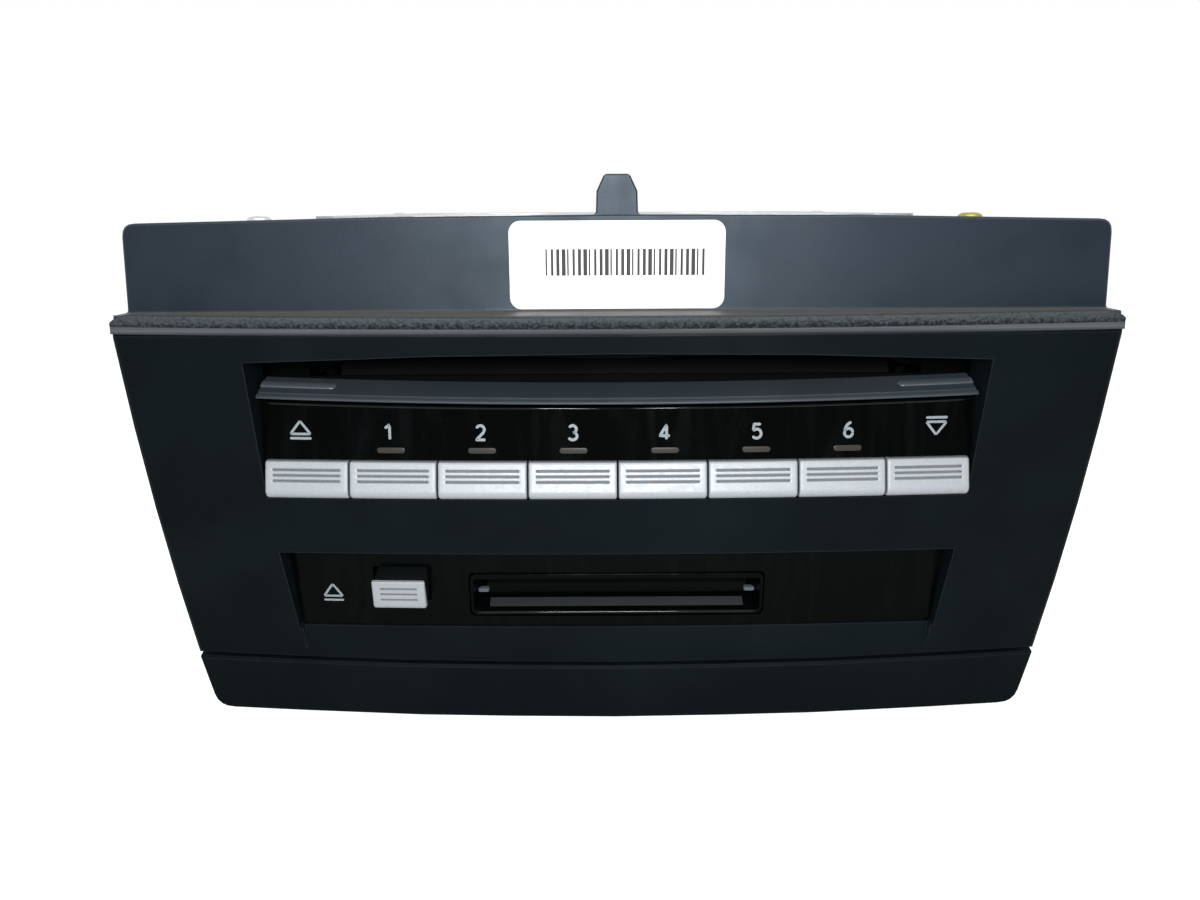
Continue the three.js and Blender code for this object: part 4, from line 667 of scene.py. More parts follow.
def piece(name, points, faces, finish, body, stands_for=()):
    """A new mesh object that rides on a body, with a named material slot."""
    mesh = mesh_of(name, points, faces, finish)
    mesh.polygons.foreach_set("use_smooth", np.full(len(mesh.polygons), True))
    mesh.update()
    obj = placed(name, mesh)
    soften(obj)
    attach(obj, body)
    if stands_for:
        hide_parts(*stands_for)


def loft_faces(count, around, ring=False):
    """Quads between neighbouring rings of points: an open row gets two end caps, and a ring joins its last
    to its first."""
    index = np.arange(count * around).reshape(count, around)
    if ring:
        index = np.concatenate((index, index[:1]))
    nxt = np.roll(index, -1, axis=1)
    quads = np.stack((index[:-1], index[1:], nxt[1:], nxt[:-1]), axis=-1).reshape(-1, 4).tolist()
    if ring:
        return quads
    return quads + [index[0].tolist(), index[-1][::-1].tolist()]


def loft(name, rings, finish, body, stands_for=(), flip=False, ring=False):
    """A closed body through rings of points; flip turns its faces round."""
    faces = loft_faces(*rings.shape[:2], ring)
    if flip:
        faces = [f[::-1] for f in faces]
    piece(name, rings, faces, finish, body, stands_for)


def arc(centre, radius, start, end, count=22):
    """Points on an arc, or on an ellipse where a pair of radii is given, from one angle to another, in
    degrees."""
    angle = np.radians(np.linspace(start, end, count))
    return np.array(centre) + np.array(radius) * np.stack((np.cos(angle), np.sin(angle)), axis=-1)


def profile_normals(profile):
    """Outward normals of a closed profile whose points run anticlockwise: each edge's direction is turned
    outwards, and the two edges at a point are averaged."""
    edge = np.roll(profile, -1, axis=0) - profile
    edge /= np.linalg.norm(edge, axis=1, keepdims=True)
    turned = np.stack((edge[:, 1], -edge[:, 0]), axis=-1)
    both = turned + np.roll(turned, 1, axis=0)
    return both / np.maximum(np.linalg.norm(both, axis=1, keepdims=True), 1e-9)


def stacked(outline, centre, middle, levels, height=None):
    """Places of an outline of (across, up) points at several levels, each a share of the outline and a
    way out, which is counted from a sloping height where that is given."""
    across = centre + outline[None, :, 0] * levels[:, :1]
    down = middle - outline[None, :, 1] * levels[:, :1]
    out = levels[:, 1:] if height is None else height(down) + levels[:, 1:]
    return across, down, out


def rounded_rectangle(width, height, corner, steps=8):
    """Corners of a rectangle about the origin as quarter circles, anticlockwise."""
    centres = [(1, 1, 0), (-1, 1, 90), (-1, -1, 180), (1, -1, 270)]
    parts = [
        arc((sx * (width / 2 - corner), sy * (height / 2 - corner)), corner, turn, turn + 90, steps)
        for sx, sy, turn in centres
    ]
    return np.concatenate(parts)


# Silver keys


def key_profile(top, length, face, top_depth, proud, body, roll=KEY_ROLL, hook=None):
    """Side view of a key as (down, out) points: a flat face that leans out, a rolled foot as a cubic curve,
    and straight flanks. The flanks go back by the body, and at the foot by the hook where that is given."""
    lean = np.arctan2(proud + top_depth, face)
    along = np.linspace(0.05, 1.0, 76)
    front = np.stack((top + along * face, -top_depth + along * (proud + top_depth)), axis=-1)
    foot = top + length
    turn = np.linspace(0.0, 1.0, 14)[1:, None]
    first = front[-1]
    second = first + roll * np.array((np.cos(lean), np.sin(lean)))
    third = np.array((foot, proud - KEY_ROLL_NOSE))
    last = np.array((foot, proud - (KEY_ROLL_BACK if hook is None else CARD_KEY_HOOK_SHARE * hook)))
    rolled = (1 - turn) ** 3 * first + 3 * (1 - turn) ** 2 * turn * second
    rolled = rolled + 3 * (1 - turn) * turn ** 2 * third + turn ** 3 * last
    back = -top_depth - body
    low = back if hook is None else proud - hook
    flanks = np.array(((foot, low), (top, back), (top, -top_depth - KEY_CHAMFER)))
    return np.concatenate((front, rolled, flanks))


def silver_cap(name, centre, half, profile, top, top_depth, grooves, margin, node):
    """A silver key: its profile carried across, drawn in at both ends by a quarter circle, with pressed
    grooves whose walls fall straight to a narrow floor, and end in a short slope."""
    normal = -profile_normals(profile)
    quarter = np.linspace(0.0, np.pi / 2, 7)
    reach = half - margin
    inner = np.linspace(-half + KEY_EDGE, half - KEY_EDGE, 31)[1:-1]
    inner = np.sort(np.concatenate((inner, -reach + GROOVE_END_STATIONS, reach - GROOVE_END_STATIONS)))
    left = -half + KEY_EDGE * (1 - np.sin(quarter))
    across = np.concatenate((left[::-1], inner, -left))
    sink = np.maximum(0.0, np.abs(across) - (half - KEY_EDGE)) / KEY_EDGE
    inset = KEY_EDGE * (1 - np.sqrt(np.maximum(0.0, 1 - sink ** 2)))
    down = profile[:, 0] - top
    on_front = profile[:, 1] > -top_depth - 0.1 * MM
    stop = np.clip((reach - np.abs(across)) / GROOVE_END + 0.5, 0, 1)
    depth = np.zeros((len(across), len(profile)))
    for place in grooves:
        bell = np.clip((GROOVE_WIDTH / 2 - np.abs(down - place)) / GROOVE_WALL, 0, 1)
        depth += stop[:, None] * (bell * on_front)[None, :] * GROOVE_DEPTH
    side = profile[None] - normal[None] * (inset[:, None] + depth)[..., None]
    rings = on_face(centre + across[:, None], side[..., 0], side[..., 1])
    loft(name, rings, SILVER, node, [node])


KEY_NAMES = ["key_eject", *("key_%d" % (i + 1) for i in range(6)), "key_load"]
KEY_GROOVES = [GROOVE_FIRST + i * GROOVE_PITCH for i in range(GROOVE_COUNT)]
KEY_PROFILE = key_profile(KEY_TOP, KEY_LENGTH, KEY_FACE, KEY_TOP_DEPTH, KEY_PROUD, KEY_BODY)
for key, low, high in zip(KEY_NAMES, KEY_EDGES[:-1], KEY_EDGES[1:]):
    silver_cap(
        key + "_cap", (low + high) / 2, (high - low - KEY_SPLIT) / 2, KEY_PROFILE, KEY_TOP, KEY_TOP_DEPTH,
        KEY_GROOVES, GROOVE_MARGIN, key,
    )


def guide_block(name, centre, width, top, height, front, back, corner):
    """A block behind the card key that runs back into the face: a rounded rectangle carried from front to
    back along the way out, with a small chamfer in front."""
    outline = rounded_rectangle(width, height, corner, 6)
    chamfer = ((1.0, front - CARD_BLOCK_CHAMFER), (0.995, front - CARD_BLOCK_BEND), (0.97, front))
    levels = np.array(((1.0, back), *chamfer))
    across, down, out = stacked(outline, centre, top + height / 2, levels)
    rings = on_face(across, down, out + crown(centre) - crown(across))
    loft(name, rings, DARK, "card_eject_key", flip=True)


CARD_GROOVES = [CARD_GROOVE_FIRST + i * CARD_GROOVE_PITCH for i in range(GROOVE_COUNT)]
CARD_KEY_PROFILE = key_profile(
    CARD_KEY_TOP, CARD_KEY_HEIGHT, CARD_KEY_FACE, CARD_KEY_TOP_DEPTH, CARD_KEY_PROUD, CARD_KEY_CAP,
    CARD_KEY_ROLL, CARD_KEY_HOOK,
)
silver_cap(
    "card_key_cap", CARD_KEY_ACROSS, CARD_KEY_WIDTH / 2, CARD_KEY_PROFILE, CARD_KEY_TOP, CARD_KEY_TOP_DEPTH,
    CARD_GROOVES, CARD_GROOVE_MARGIN, "card_eject_key",
)
guide_block(
    "card_key_body", CARD_KEY_ACROSS, CARD_KEY_WIDTH - 2 * CARD_BLOCK_INSET, CARD_KEY_TOP + CARD_BLOCK_INSET,
    CARD_KEY_HEIGHT - 2 * CARD_BLOCK_INSET, -CARD_KEY_TOP_DEPTH - CARD_BLOCK_LAP, -CARD_KEY_DEPTH,
    CARD_BLOCK_CORNER,
)
guide_block(
    "card_key_rod", CARD_KEY_ACROSS, CARD_ROD_SIZE, CARD_KEY_TOP + (CARD_KEY_HEIGHT - CARD_ROD_SIZE) / 2,
    CARD_ROD_SIZE, -CARD_KEY_DEPTH + CARD_ROD_LAP, -CARD_ROD_BACK, CARD_ROD_CORNER,
)


# Disc slot lip with its slide pads


def disc_lip():
    """The lip: a side view of (down, out) points carried across and let down by a parabola, with a narrow
    slot and a bead at its nose."""
    nose = -LIP_NOSE_DEPTH
    foot = LIP_TOP + LIP_NOSE_HEIGHT
    back = -LIP_BACK_DEPTH - LIP_TAIL
    top = np.array(((LIP_BACK, back), (LIP_BACK, -LIP_BACK_DEPTH)))
    bead = arc((foot - LIP_BEAD, nose - LIP_BEAD), LIP_BEAD, 150, -30, 11)
    tail = np.array(((foot, nose - LIP_THICKNESS), (foot, back)))
    profile = np.concatenate((top, LIP_SLOT + np.array((LIP_TOP, nose)), bead, tail))
    across = np.linspace(-HALF_RECESS, HALF_RECESS, RECESS_STATIONS)
    rings = carried(profile, across, drop=droop(across))
    loft("slot_lip", rings, LIP, "housing", ["disc_slot_lip"], flip=True)


def slide_pad(name, side):
    """A low pad on the lip's back: a half-ellipse side view whose height falls off as a quarter circle at
    its inner end."""
    share = np.linspace(0.0, 1.0, 41)
    across = side * (HALF_RECESS - share * PAD_LENGTH)
    near_end = np.clip((share - 1 + PAD_END_SHARE) / PAD_END_SHARE, 0, 1)
    fall = np.sqrt(np.clip(1 - near_end ** 2, PAD_LEAST_SHARE, 1))
    turn = np.radians(np.linspace(0, 180, 17))
    out = PAD_DEPTH / 2 - PAD_BACK + 0.5 * PAD_DEPTH * fall[:, None] * np.cos(turn)[None]
    rise = PAD_RISE * fall[:, None] * np.sin(turn)[None] ** PAD_ROUNDING
    along = (out + LIP_BACK_DEPTH) / (LIP_BACK_DEPTH - LIP_NOSE_DEPTH)
    down = LIP_BACK + along * (LIP_TOP - LIP_BACK) + droop(across)[:, None] - rise + PAD_SINK
    loft(name, on_face(across[:, None], down, out), PAD, "housing", flip=side < 0)


disc_lip()
slide_pad("slide_pad_left", -1)
slide_pad("slide_pad_right", 1)


# Legend panel, indicators and legends


def legend_sheet():
    """The gloss panel: a thin sloping side view carried across, its upper edge let down by a parabola."""
    across = np.linspace(-HALF_RECESS, HALF_RECESS, RECESS_STATIONS)
    share = np.linspace(0.0, 1.0, 13)
    top = LEGEND_EDGE + droop(across)
    foot = LEGEND_FOOT - LEGEND_KEY_GAP
    down = top[:, None] + share[None] * (foot - top[:, None])
    front = legend_height(down)
    back = front - LEGEND_THICKNESS
    there_and_back = np.concatenate((down, down[:, ::-1]), axis=1)
    rings = on_face(across[:, None], there_and_back, np.concatenate((front, back[:, ::-1]), axis=1))
    loft("legend_sheet", rings, GLOSS, "housing", ["legend_panel"], flip=True)


def legend_edge():
    """The polished bead along the panel's upper edge: half a circle carried across, let down by a
    parabola."""
    across = np.linspace(-HALF_RECESS + EDGE_INSET, HALF_RECESS - EDGE_INSET, RECESS_STATIONS)
    centre = (LEGEND_EDGE + EDGE_DROP, legend_height(LEGEND_EDGE) + EDGE_RISE)
    rings = carried(arc(centre, EDGE_BEAD, 200, 20, 15), across, drop=droop(across))
    loft("legend_edge", rings, EDGE, "housing")


def indicator(name, centre):
    """An indicator: a stadium outline with a softly raised face, set in the panel."""
    outline = rounded_rectangle(BAR_LENGTH, BAR_HEIGHT, BAR_CORNER)
    levels = np.array(((1.0, -0.4), (1.0, 0.03), (0.97, 0.06), (0.9, 0.08))) * np.array((1.0, MM))
    rings = on_face(*stacked(outline, centre, BAR_CENTRE, levels, legend_height))
    stands = ["indicator_light_guide"] if name == "indicator_1" else ()
    loft(name, rings, LENS, "housing", stands, flip=True)


legend_sheet()
legend_edge()
for i in range(6):
    indicator("indicator_%d" % (i + 1), BAR_SHIFT + (i - 2.5) * BAR_PITCH)


def stroke_rings(path, width, height):
    """A printed stroke as rings: half a width to both sides of its path, falling to nothing in a half
    circle at both ends."""
    step = np.linalg.norm(np.diff(path, axis=0), axis=1)
    length = np.concatenate(((0.0,), np.cumsum(step)))
    half = width / 2
    cut = half * (1 - np.cos(np.linspace(0, np.pi / 2, 6)))
    inside = length[(length > half) & (length < length[-1] - half)]
    at = np.sort(np.concatenate((cut, inside, length[-1] - cut)))
    points = np.stack([np.interp(at, length, path[:, k]) for k in (0, 1)], axis=-1)
    along = np.gradient(points, at + np.arange(len(at)) * 1e-12, axis=0)
    along /= np.maximum(np.linalg.norm(along, axis=1, keepdims=True), 1e-9)
    side = np.stack((-along[:, 1], along[:, 0]), axis=-1)
    near = np.minimum(at, length[-1] - at)
    round_end = np.sqrt(np.maximum(half ** 2 - (half - near) ** 2, (0.02 * half) ** 2))
    reach = np.where(near < half, round_end, half)[:, None]
    low = np.zeros((len(at), 1))
    high = np.full((len(at), 1), height)
    left = points + side * reach
    right = points - side * reach
    corners = [(left, low), (left, high), (right, high), (right, low)]
    return np.stack([np.hstack(corner) for corner in corners], axis=1)


def drawing(name, strokes, place, width):
    """Printed strokes as one thin mesh: each stroke's rings, set where a function puts (across, down,
    rise)."""
    points = []
    faces = []
    for path in strokes:
        rings = stroke_rings(path, width, PRINT_RISE)
        start = sum(len(p) for p in points)
        faces += [[start + i for i in face] for face in loft_faces(*rings.shape[:2])]
        points.append(place(rings[..., 0], rings[..., 1], rings[..., 2]).reshape(-1, 3))
    piece(name, np.concatenate(points), faces, INK, "housing")


def line(*points):
    """A path of straight stretches, with points close together."""
    parts = [np.linspace(a, b, 12) for a, b in zip(points[:-1], points[1:])]
    return np.concatenate([parts[0], *(part[1:] for part in parts[1:])])


# Plain numbers as strokes: across from -0.5 to 0.5 of the width, down from -0.5 to 0.5 of the height
DIGITS = {
    "1": [line((-0.3, -0.24), (0.08, -0.44), (0.08, 0.42))],
    "2": [np.concatenate((
        arc((0.0, -0.2), (0.32, 0.22), 195, 385), line((0.22, 0.0), (-0.34, 0.42), (0.4, 0.42)),
    ))],
    "3": [arc((0.0, -0.21), (0.3, 0.21), 205, 450), arc((0.0, 0.2), (0.36, 0.22), 270, 515)],
    "4": [line((0.42, 0.2), (-0.4, 0.2), (0.14, -0.42), (0.14, 0.42))],
    "5": [line((0.32, -0.42), (-0.24, -0.42), (-0.3, -0.04)), arc((-0.02, 0.14), (0.36, 0.27), 215, 510)],
    "6": [arc((0.0, 0.16), (0.34, 0.25), 0, 360), arc((0.3, 0.1), (0.62, 0.55), 180, 262)],
}


def on_panel(height, centre, middle):
    """A place function round a centre on a sloping panel, whose height over the face is a function."""
    return lambda x, v, rise: on_face(centre + x, middle + v, height(middle + v) + rise)


def eject_sign(width, height):
    """A hollow triangle over a bar, as strokes: the triangle's three sides and the bar."""
    half = (width - SIGN_WIDTH) / 2
    top = SIGN_WIDTH * ICON_TOP_SHARE
    base = height * ICON_BASE_SHARE
    foot = height - SIGN_WIDTH / 2
    corners = [(0.0, top), (half * ICON_SIDE_SHARE, base), (-half * ICON_SIDE_SHARE, base)]
    sides = [line(a, b) for a, b in zip(corners, corners[1:] + corners[:1])]
    return [*sides, line((-half, foot), (half, foot))]


for digit, strokes in DIGITS.items():
    sized = [path * DIGIT_SHARES * (DIGIT_WIDTH, DIGIT_HEIGHT) for path in strokes]
    centre = DIGIT_SHIFT + (int(digit) - 3.5) * DIGIT_PITCH
    drawing("digit_" + digit, sized, on_panel(legend_height, centre, DIGIT_CENTRE), PRINT_WIDTH)

disc_sign = eject_sign(ICON_WIDTH, ICON_HEIGHT)
load_sign = [(0.0, ICON_HEIGHT) + path * (1.0, -1.0) for path in disc_sign]
card_sign = eject_sign(ICON_WIDTH, CARD_ICON_HEIGHT)
for name, sign, height, across, top in (
    ("disc_eject_sign", disc_sign, legend_height, ICON_ACROSS, ICON_TOP),
    ("disc_load_sign", load_sign, legend_height, LOAD_ACROSS, ICON_TOP),
    ("card_eject_sign", card_sign, card_height, CARD_ICON_ACROSS, CARD_ICON_TOP),
):
    drawing(name, sign, on_panel(height, across, top), SIGN_WIDTH)


# Card slot


def on_card_plane(across, drop, height):
    """Points from places on the flat, sloping card panel: across, down its slope and out of it."""
    slope = np.arctan2(CARD_TOP_DEPTH - CARD_FOOT_DEPTH, CARD_FOOT - CARD_TOP)
    down = CARD_TOP + drop * np.cos(slope) - height * np.sin(slope)
    out = -CARD_TOP_DEPTH + drop * np.sin(slope) + height * np.cos(slope)
    return from_top(across, down, out)


def slot_bezel():
    """The bezel: rounded rectangles from its back outside, over its front, to its back inside. Each gives
    insets at the sides, top and foot, a corner radius and a height, with another height along the foot. The
    mouth narrows to the card's width as a lead-in."""
    deep = -BEZEL_DEPTH / MM
    rows = np.array((
        (0.0, 0.0, 0.0, 1.3, deep, deep),
        (0.0, 0.0, 0.0, 1.3, -0.3, -0.3),
        (0.04, 0.04, 0.04, 1.3, -0.08, -0.05),
        (0.16, 0.2, 0.2, 1.15, 0.02, 0.15),
        (0.3, 0.5, 0.45, 0.95, 0.0, 0.36),
        (0.45, 0.9, 0.75, 0.75, -0.04, 0.44),
        (0.56, 1.15, 1.0, 0.6, -0.12, 0.4),
        (0.64, 1.28, 1.2, 0.5, -0.3, 0.22),
        (0.7, 1.32, 1.3, 0.45, -0.7, -0.1),
        (0.8, 1.36, 1.5, 0.4, -1.6, -0.9),
        (2.4, 1.4, 2.3, 0.4, -4.0, -3.1),
        (2.4, 1.4, 2.5, 0.4, deep, deep),
    )) * MM
    rings = []
    for side, inset, sill, corner, height, foot_height in rows:
        tall = BEZEL_HEIGHT - inset - sill
        shape = rounded_rectangle(BEZEL_WIDTH - 2 * side, tall, corner, 7)
        low = np.clip((-shape[:, 1] - tall / 2 + BEZEL_FOOT_BAND) / BEZEL_FOOT_BLEND, 0, 1)
        drop = SLOT_TOP + BEZEL_HEIGHT / 2 - shape[:, 1] - (sill - inset) / 2
        rings.append(on_card_plane(shape[:, 0], drop, height + low * (foot_height - height)))
    rings = np.array(rings)
    loft("slot_bezel", rings, GLOSS, "housing", ["card_slot_bezel"], flip=True, ring=True)


def card_flap():
    """The door: a thin plate with rounded edges that hangs from a round pin, as one side view carried
    across."""
    depth = -BEZEL_DEPTH + FLAP_FORWARD
    half = MOUTH_HALF - FLAP_GAP
    pin = arc((SLOT_TOP + FLAP_TOP, depth), FLAP_PIN, 320, 40, 14)
    edge = arc((SLOT_FOOT - FLAP_FOOT - FLAP_EDGE, depth), FLAP_EDGE, 90, -90, 8)
    rings = carried(np.concatenate((pin[::-1], edge)), np.linspace(-half, half, 41), on_card_plane)
    # Dark plastic and painted shadow: the door is painted near black, also standing for the shadow under the
    # bezel's top.
    loft("card_flap", rings, SHADE_BLACK, "card_door", ["card_door"])


def card_sill():
    """The matt sill in the slot: a thin side view that follows the bezel's sloping foot, carried across."""
    upper = np.array((SLOT_FOOT, 0.0)) + np.array(((-2.5, -3.1), (-2.45, -2.9), (-1.72, -0.95))) * MM
    half = MOUTH_HALF - SILL_INSET
    profile = np.concatenate((upper, upper[::-1] + SILL_STEP))
    rings = carried(profile, np.linspace(-half, half, 31), on_card_plane)
    loft("card_sill", rings, SILL, "housing", flip=True)


def sill_edge():
    """The polished bead along the sill's front: half a circle carried across, smaller towards both ends."""
    half = MOUTH_HALF + SILL_BEAD_REACH
    across = np.linspace(-half, half, 61)
    size = np.clip((half + SILL_BEAD_OVERRUN - np.abs(across)) / SILL_BEAD_TAPER, 0.1, 1) ** 0.5
    bead = size[:, None, None] * arc((0.0, 0.0), SILL_BEAD, 170, 10, 15)[None]
    drop = SLOT_FOOT - SILL_BEAD_UP + bead[..., 0]
    rings = on_card_plane(across[:, None], drop, SILL_BEAD_OUT + bead[..., 1])
    loft("sill_edge", rings, EDGE, "housing")


def flap_stop(name, side):
    """A pale guide block at the end of the card slot, a rounded rectangle with a chamfered front."""
    outline = rounded_rectangle(STOP_WIDTH, STOP_HEIGHT, STOP_CORNER, 5)
    levels = np.array(((1.0, -3.2), (1.0, -2.3), (0.8, -2.1))) * np.array((1.0, MM))
    places = stacked(outline, side * (MOUTH_HALF - STOP_INSET), SLOT_TOP + STOP_DOWN, levels)
    loft(name, on_card_plane(*places), PAD, "housing", flip=True)


slot_bezel()
card_flap()
card_sill()
sill_edge()
flap_stop("flap_stop_left", -1)
flap_stop("flap_stop_right", 1)


# Foam strip between the ledge and the fascia


def foam_strip():
    """The foam: a rectangle with rounded corners carried across, each point pushed in by a seeded rough
    field that is a sum of waves plus a smoothed random one, deepest in the lower half of its front."""
    across = np.linspace(-FOAM_HALF, FOAM_HALF, FOAM_STATIONS)
    down_front = np.linspace(FOAM_TOP + FOAM_CHAMFER_DOWN, FOAM_FOOT, FOAM_ROWS)
    front = np.stack((down_front, np.full(FOAM_ROWS, -FOAM_FRONT)), axis=-1)
    corner = (FOAM_TOP, -FOAM_FRONT - FOAM_CHAMFER_IN)
    back = np.array(((FOAM_FOOT, -FOAM_BACK), (FOAM_TOP, -FOAM_BACK), corner))
    profile = np.concatenate((front, back))
    field = np.random.default_rng(FOAM_SEED).random((len(across), FOAM_ROWS))
    for axis in (0, 1):
        field = (np.roll(field, 1, axis) + 2 * field + np.roll(field, -1, axis)) / 4
    shift = front[None, :, 0] * FOAM_WAVE_SHIFT
    waves = np.sin(across[:, None] * FOAM_FINE_WAVE) * np.sin(across[:, None] * FOAM_COARSE_WAVE + shift)
    pores = np.clip((field - FOAM_PORE_LEVEL) * FOAM_PORE_GAIN, 0, 1)
    rough = FOAM_PORE_SHARE * pores + (1 - FOAM_PORE_SHARE) * (0.5 + 0.5 * waves)
    low = np.clip((front[:, 0] - FOAM_TOP) / (FOAM_FOOT - FOAM_TOP), 0, 1)
    bell = np.sin(np.pi * np.clip(low, 0.03, 0.97))
    out = np.tile(profile[:, 1], (len(across), 1))
    out[:, :FOAM_ROWS] -= rough * (FOAM_PUSH + FOAM_PUSH_LOW * low * bell)
    from_end = FOAM_HALF - np.abs(across)
    end = np.clip(from_end / FOAM_END, 0, 1)
    slope = np.clip(1 - from_end / FOAM_SLOPE, 0, 1)
    fall = (1 - np.sqrt(1 - (1 - end) ** 2)) * FOAM_END_DROP + slope ** FOAM_SLOPE_BEND * FOAM_FALL
    share = np.clip((FOAM_FOOT - profile[None, :, 0]) / (FOAM_FOOT - FOAM_TOP), 0, 1)
    down = profile[None, :, 0] + share * fall[:, None]
    rings = on_face(across[:, None], down, out)
    loft("foam_strip", rings, FOAM, "housing", ["seal_strip"], flip=True)


foam_strip()


def top_rim():
    """The rim of the face's upper edge, pale with dust and a painted highlight: a side view with two fine
    beads that runs out into the face, carried across and drawn back by a quarter circle at both ends."""
    front = np.array((
        (0.04, -0.75), (0.05, -0.5), (0.09, -0.3), (0.17, -0.22), (0.27, -0.27), (0.35, -0.34),
        (0.43, -0.28), (0.53, -0.17), (0.66, -0.13), (0.78, -0.15), (0.92, -0.09), (1.08, -0.02),
        (1.2, 0.012),
    )) * MM
    back = np.array(((1.2, -0.4), (0.04, -1.3))) * MM
    profile = np.concatenate((front, back))
    straight = RIM_HALF - RIM_ROUND
    end = np.sin(np.linspace(0, np.pi / 2, 8)) * RIM_ROUND
    middle = np.linspace(-straight, straight, RIM_STATIONS)[1:-1]
    across = np.concatenate((-straight - end[::-1], middle, straight + end))
    near = np.clip((np.abs(across) - straight) / RIM_ROUND, 0, 1)
    draw = (1 - np.sqrt(np.maximum(1 - near ** 2, 0)))[:, None] * RIM_DRAW
    rings = on_face(across[:, None], profile[None, :, 0] + 0.5 * draw, profile[None, :, 1] - draw)
    loft("top_rim", rings, RIM, "housing", flip=True)


top_rim()


# Label on the slab: bare stock with plain bars


def on_slab(across, height, rise):
    """Points on the slab's front: across, up from the face's top edge and out of it."""
    across, height, rise = np.broadcast_arrays(across, height, rise)
    front = FACE_TOP[1] + SLAB_SETBACK
    return np.stack((across, front - rise, FACE_TOP[2] + height), axis=-1)


def label():
    """The label: a rounded rectangle of thin stock stuck on the slab."""
    middle = (LABEL_FOOT + LABEL_TOP) / 2
    outline = rounded_rectangle(LABEL_WIDTH, LABEL_TOP - LABEL_FOOT, LABEL_CORNER)
    levels = np.array(((1.0, 0.0), (1.0, LABEL_RISE * 0.7), (0.995, LABEL_RISE)))
    shrunk = outline[None] * levels[:, None, :1]
    rings = on_slab(shrunk[..., 0], middle + shrunk[..., 1], levels[:, 1:])
    loft("blank_label", rings, LABEL, "housing", flip=True)


def label_bars():
    """Plain upright bars of a few widths, in a repeating order that stands for nothing: each is a thin box,
    its corners given as shares of its width, height and rise."""
    index = np.arange(LABEL_BARS)
    pitch = (LABEL_BARS_RIGHT - LABEL_BARS_LEFT) / LABEL_BARS
    width = pitch * LABEL_BAR_SHARES[index * 5 % 4]
    left = LABEL_BARS_LEFT + index * pitch
    corner_shares = np.array((
        (0, 0, 0), (1, 0, 0), (1, 1, 0), (0, 1, 0), (0, 0, 1), (1, 0, 1), (1, 1, 1), (0, 1, 1),
    ))
    across = left[:, None] + width[:, None] * corner_shares[None, :, 0]
    height = LABEL_BARS_FOOT + (LABEL_BARS_TOP - LABEL_BARS_FOOT) * corner_shares[None, :, 1]
    rise = LABEL_RISE + (corner_shares[None, :, 2] * 2 - 1) * LABEL_BARS_HALF_RISE
    sides = np.array(((3, 2, 1, 0), (4, 5, 6, 7), (0, 1, 5, 4), (1, 2, 6, 5), (2, 3, 7, 6), (3, 0, 4, 7)))
    faces = (index[:, None, None] * 8 + sides[None]).reshape(-1, 4)
    piece("label_bars", on_slab(across, height, rise), faces, BAR_INK, "housing")


label()
label_bars()


# Cover screws


def pan_head(node, finish):
    """A pan head on rings: its height is a flat-topped ellipse of the radius, less a cross recess whose arms
    have steep walls."""
    low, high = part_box(node)
    centre = (np.array(low) + np.array(high)) / 2
    radius = (high[0] - low[0]) / 2
    tall = high[2] - low[2]
    turn = np.linspace(0, 2 * np.pi, SCREW_STEPS + 1)[:-1]
    inner = np.linspace(0.0, SCREW_MIDDLE_SHARE, 26)[1:]
    outer = SCREW_MIDDLE_SHARE + (1 - SCREW_MIDDLE_SHARE) * np.sin(np.linspace(0, np.pi / 2, 9)[1:])
    share = np.concatenate((inner, outer))
    past_flat = np.clip((share - SCREW_FLAT_SHARE) / (1 - SCREW_FLAT_SHARE), 0, 1)
    dome = np.sqrt(np.clip(1 - past_flat ** 2, 0, 1))
    rise = tall * (SCREW_SIDE_SHARE + (1 - SCREW_SIDE_SHARE) * dome)
    x = share[:, None] * radius * np.cos(turn)
    y = share[:, None] * radius * np.sin(turn)
    arm = np.minimum(np.abs(x), np.abs(y))
    reach = np.maximum(np.abs(x), np.abs(y))
    wall = np.clip((SCREW_CROSS_ARM - arm) / SCREW_CROSS_WALL, 0, 1)
    recess = wall * np.clip((SCREW_CROSS_REACH - reach) / SCREW_CROSS_END, 0, 1)
    z = low[2] + rise[:, None] - recess * SCREW_CROSS_DEPTH
    skirt = np.stack((radius * np.cos(turn), radius * np.sin(turn), np.full(SCREW_STEPS, low[2])), axis=-1)
    rings = np.concatenate((np.stack((x, y, z), axis=-1), skirt[None]))
    rings[..., :2] += centre[:2]
    count = len(rings)
    sides = loft_faces(count, SCREW_STEPS)[:-2]
    middle = np.array(((centre[0], centre[1], low[2] + tall - SCREW_CROSS_DEPTH),))
    steps = range(SCREW_STEPS)
    fan = [[count * SCREW_STEPS, (i + 1) % SCREW_STEPS, i] for i in steps]
    foot = [[(count - 1) * SCREW_STEPS + i for i in steps][::-1]]
    points = np.concatenate((rings.reshape(-1, 3), middle))
    piece(node + "_head", points, sides + fan + foot, finish, "housing", [node])


for node, finish in (
    ("cover_screw_front_left", BRIGHT), ("cover_screw_front_right", BRASS),
    ("cover_screw_rear_left", BRIGHT), ("cover_screw_rear_right", BRIGHT),
):
    pan_head(node, finish)


# Floor, light and camera


def seen_white(tree):
    """One for rays that show a background: from the camera, in gloss or through glass."""
    path = add_node(tree, "ShaderNodeLightPath")
    seen = path.outputs["Is Camera Ray"]
    for name in ("Is Glossy Ray", "Is Transmission Ray"):
        either = add_node(tree, "ShaderNodeMath", {0: seen, 1: path.outputs[name]}, operation="MAXIMUM")
        seen = either.outputs[0]
    return seen


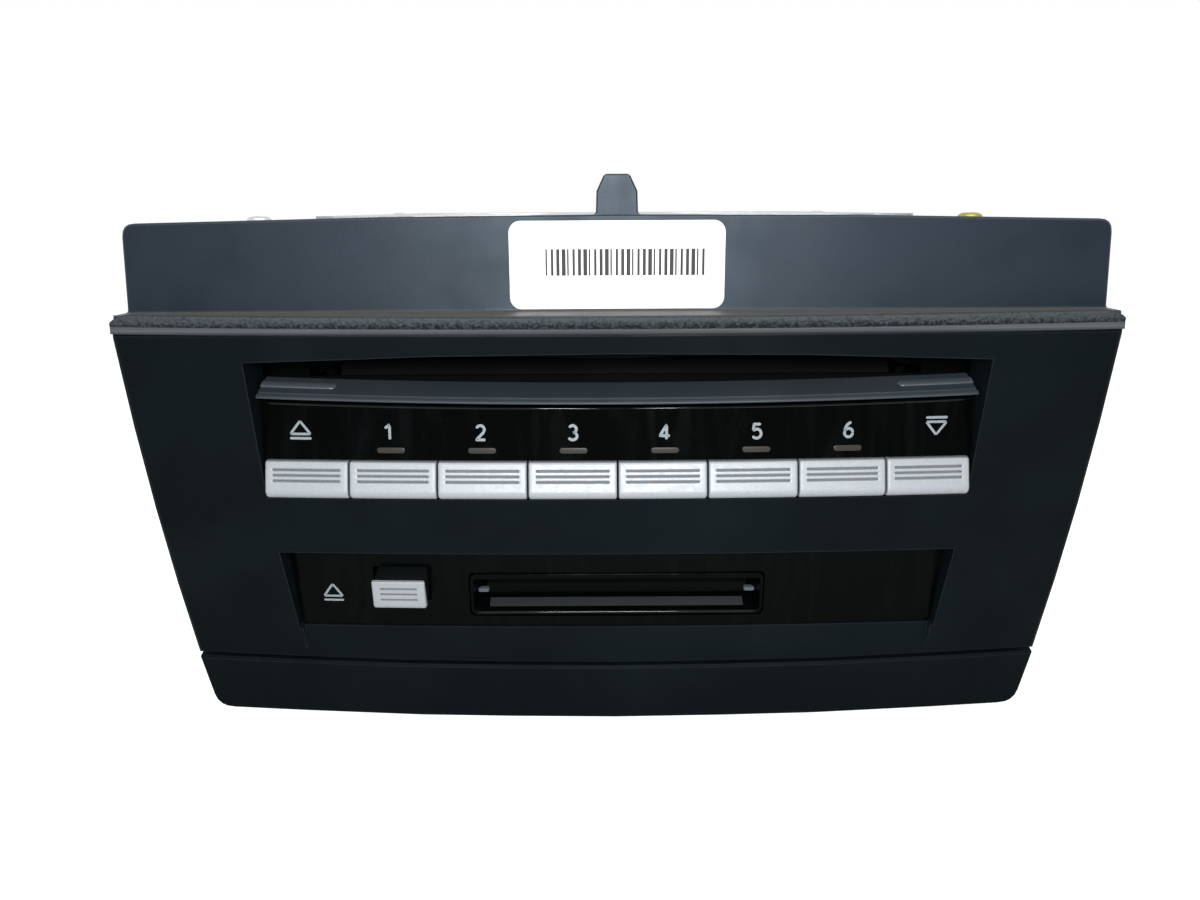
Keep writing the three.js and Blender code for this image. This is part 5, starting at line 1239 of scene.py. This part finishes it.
def glow_floor():
    """A wide pale floor that is white to the camera and keeps the radio's shadow."""
    floor = Finish("pale_floor", (FLOOR_GREY, FLOOR_GREY, FLOOR_GREY), 0.9, specular=0.1)
    seen = floor.node("ShaderNodeLightPath").outputs["Is Camera Ray"]
    strength = floor.node("ShaderNodeMath", {0: seen, 1: FLOOR_GLOW}, operation="MULTIPLY")
    glow = floor.node("ShaderNodeEmission", {"Strength": strength.outputs[0]})
    both = floor.node("ShaderNodeAddShader", {0: floor.shader.outputs[0], 1: glow.outputs[0]})
    floor.link(both.outputs[0], floor.tree.nodes["Material Output"].inputs["Surface"])
    corners = FLOOR_REACH * np.array(((-1, -1, 0), (1, -1, 0), (1, 1, 0), (-1, 1, 0)))
    obj = placed("floor", mesh_of("floor", corners, [[0, 1, 2, 3]], floor))


def white_world():
    """White to the camera and in gloss, a plain grey sky for light."""
    world = bpy.data.worlds.new("studio")
    bpy.context.scene.world = world
    world.use_nodes = True
    tree = world.node_tree
    inputs = {"Value": seen_white(tree), "To Min": SKY_LIGHT, "To Max": 1.0}
    strength = add_node(tree, "ShaderNodeMapRange", inputs)
    background = tree.nodes["Background"]
    background.inputs["Color"].default_value = (1.0, 1.0, 1.0, 1.0)
    tree.links.new(strength.outputs["Result"], background.inputs["Strength"])


def soft_lamp(name, place, target, size, power):
    """An area lamp aimed at a point."""
    data = bpy.data.lights.new(name, "AREA")
    data.shape = "RECTANGLE"
    data.size = size[0]
    data.size_y = size[1]
    data.energy = power
    lamp = placed(name, data)
    lamp.location = place
    lamp.rotation_euler = (Vector(target) - Vector(place)).to_track_quat("-Z", "Y").to_euler()


def photo_camera():
    """The photograph's view: just over the slab's height, in front of the middle, looking a little down."""
    forward = np.array((0.0, np.cos(CAMERA_PITCH), -np.sin(CAMERA_PITCH)))
    across = np.array((1.0, 0.0, 0.0))
    upward = np.cross(across, forward)
    right = across * np.cos(CAMERA_ROLL) - upward * np.sin(CAMERA_ROLL)
    up = upward * np.cos(CAMERA_ROLL) + across * np.sin(CAMERA_ROLL)
    data = bpy.data.cameras.new("camera")
    data.sensor_width = CAMERA_SENSOR
    data.lens = CAMERA_LENS
    data.clip_start = CAMERA_NEAR
    camera = placed("camera", data)
    columns = np.stack((right, up, -forward, FACE_TOP + CAMERA_PLACE), axis=-1)
    camera.matrix_world = Matrix((*columns.tolist(), (0.0, 0.0, 0.0, 1.0)))
    bpy.context.scene.camera = camera


glow_floor()
white_world()
soft_lamp("overhead", (0.05, -0.3, 0.85), (0, -0.05, 0.05), (0.8, 0.6), OVERHEAD_POWER)
soft_lamp("front", (0.0, -0.31, 0.128), (0, -0.1, 0.085), (0.06, 0.04), FRONT_POWER)
photo_camera()
bpy.context.scene.view_settings.view_transform = "Standard"
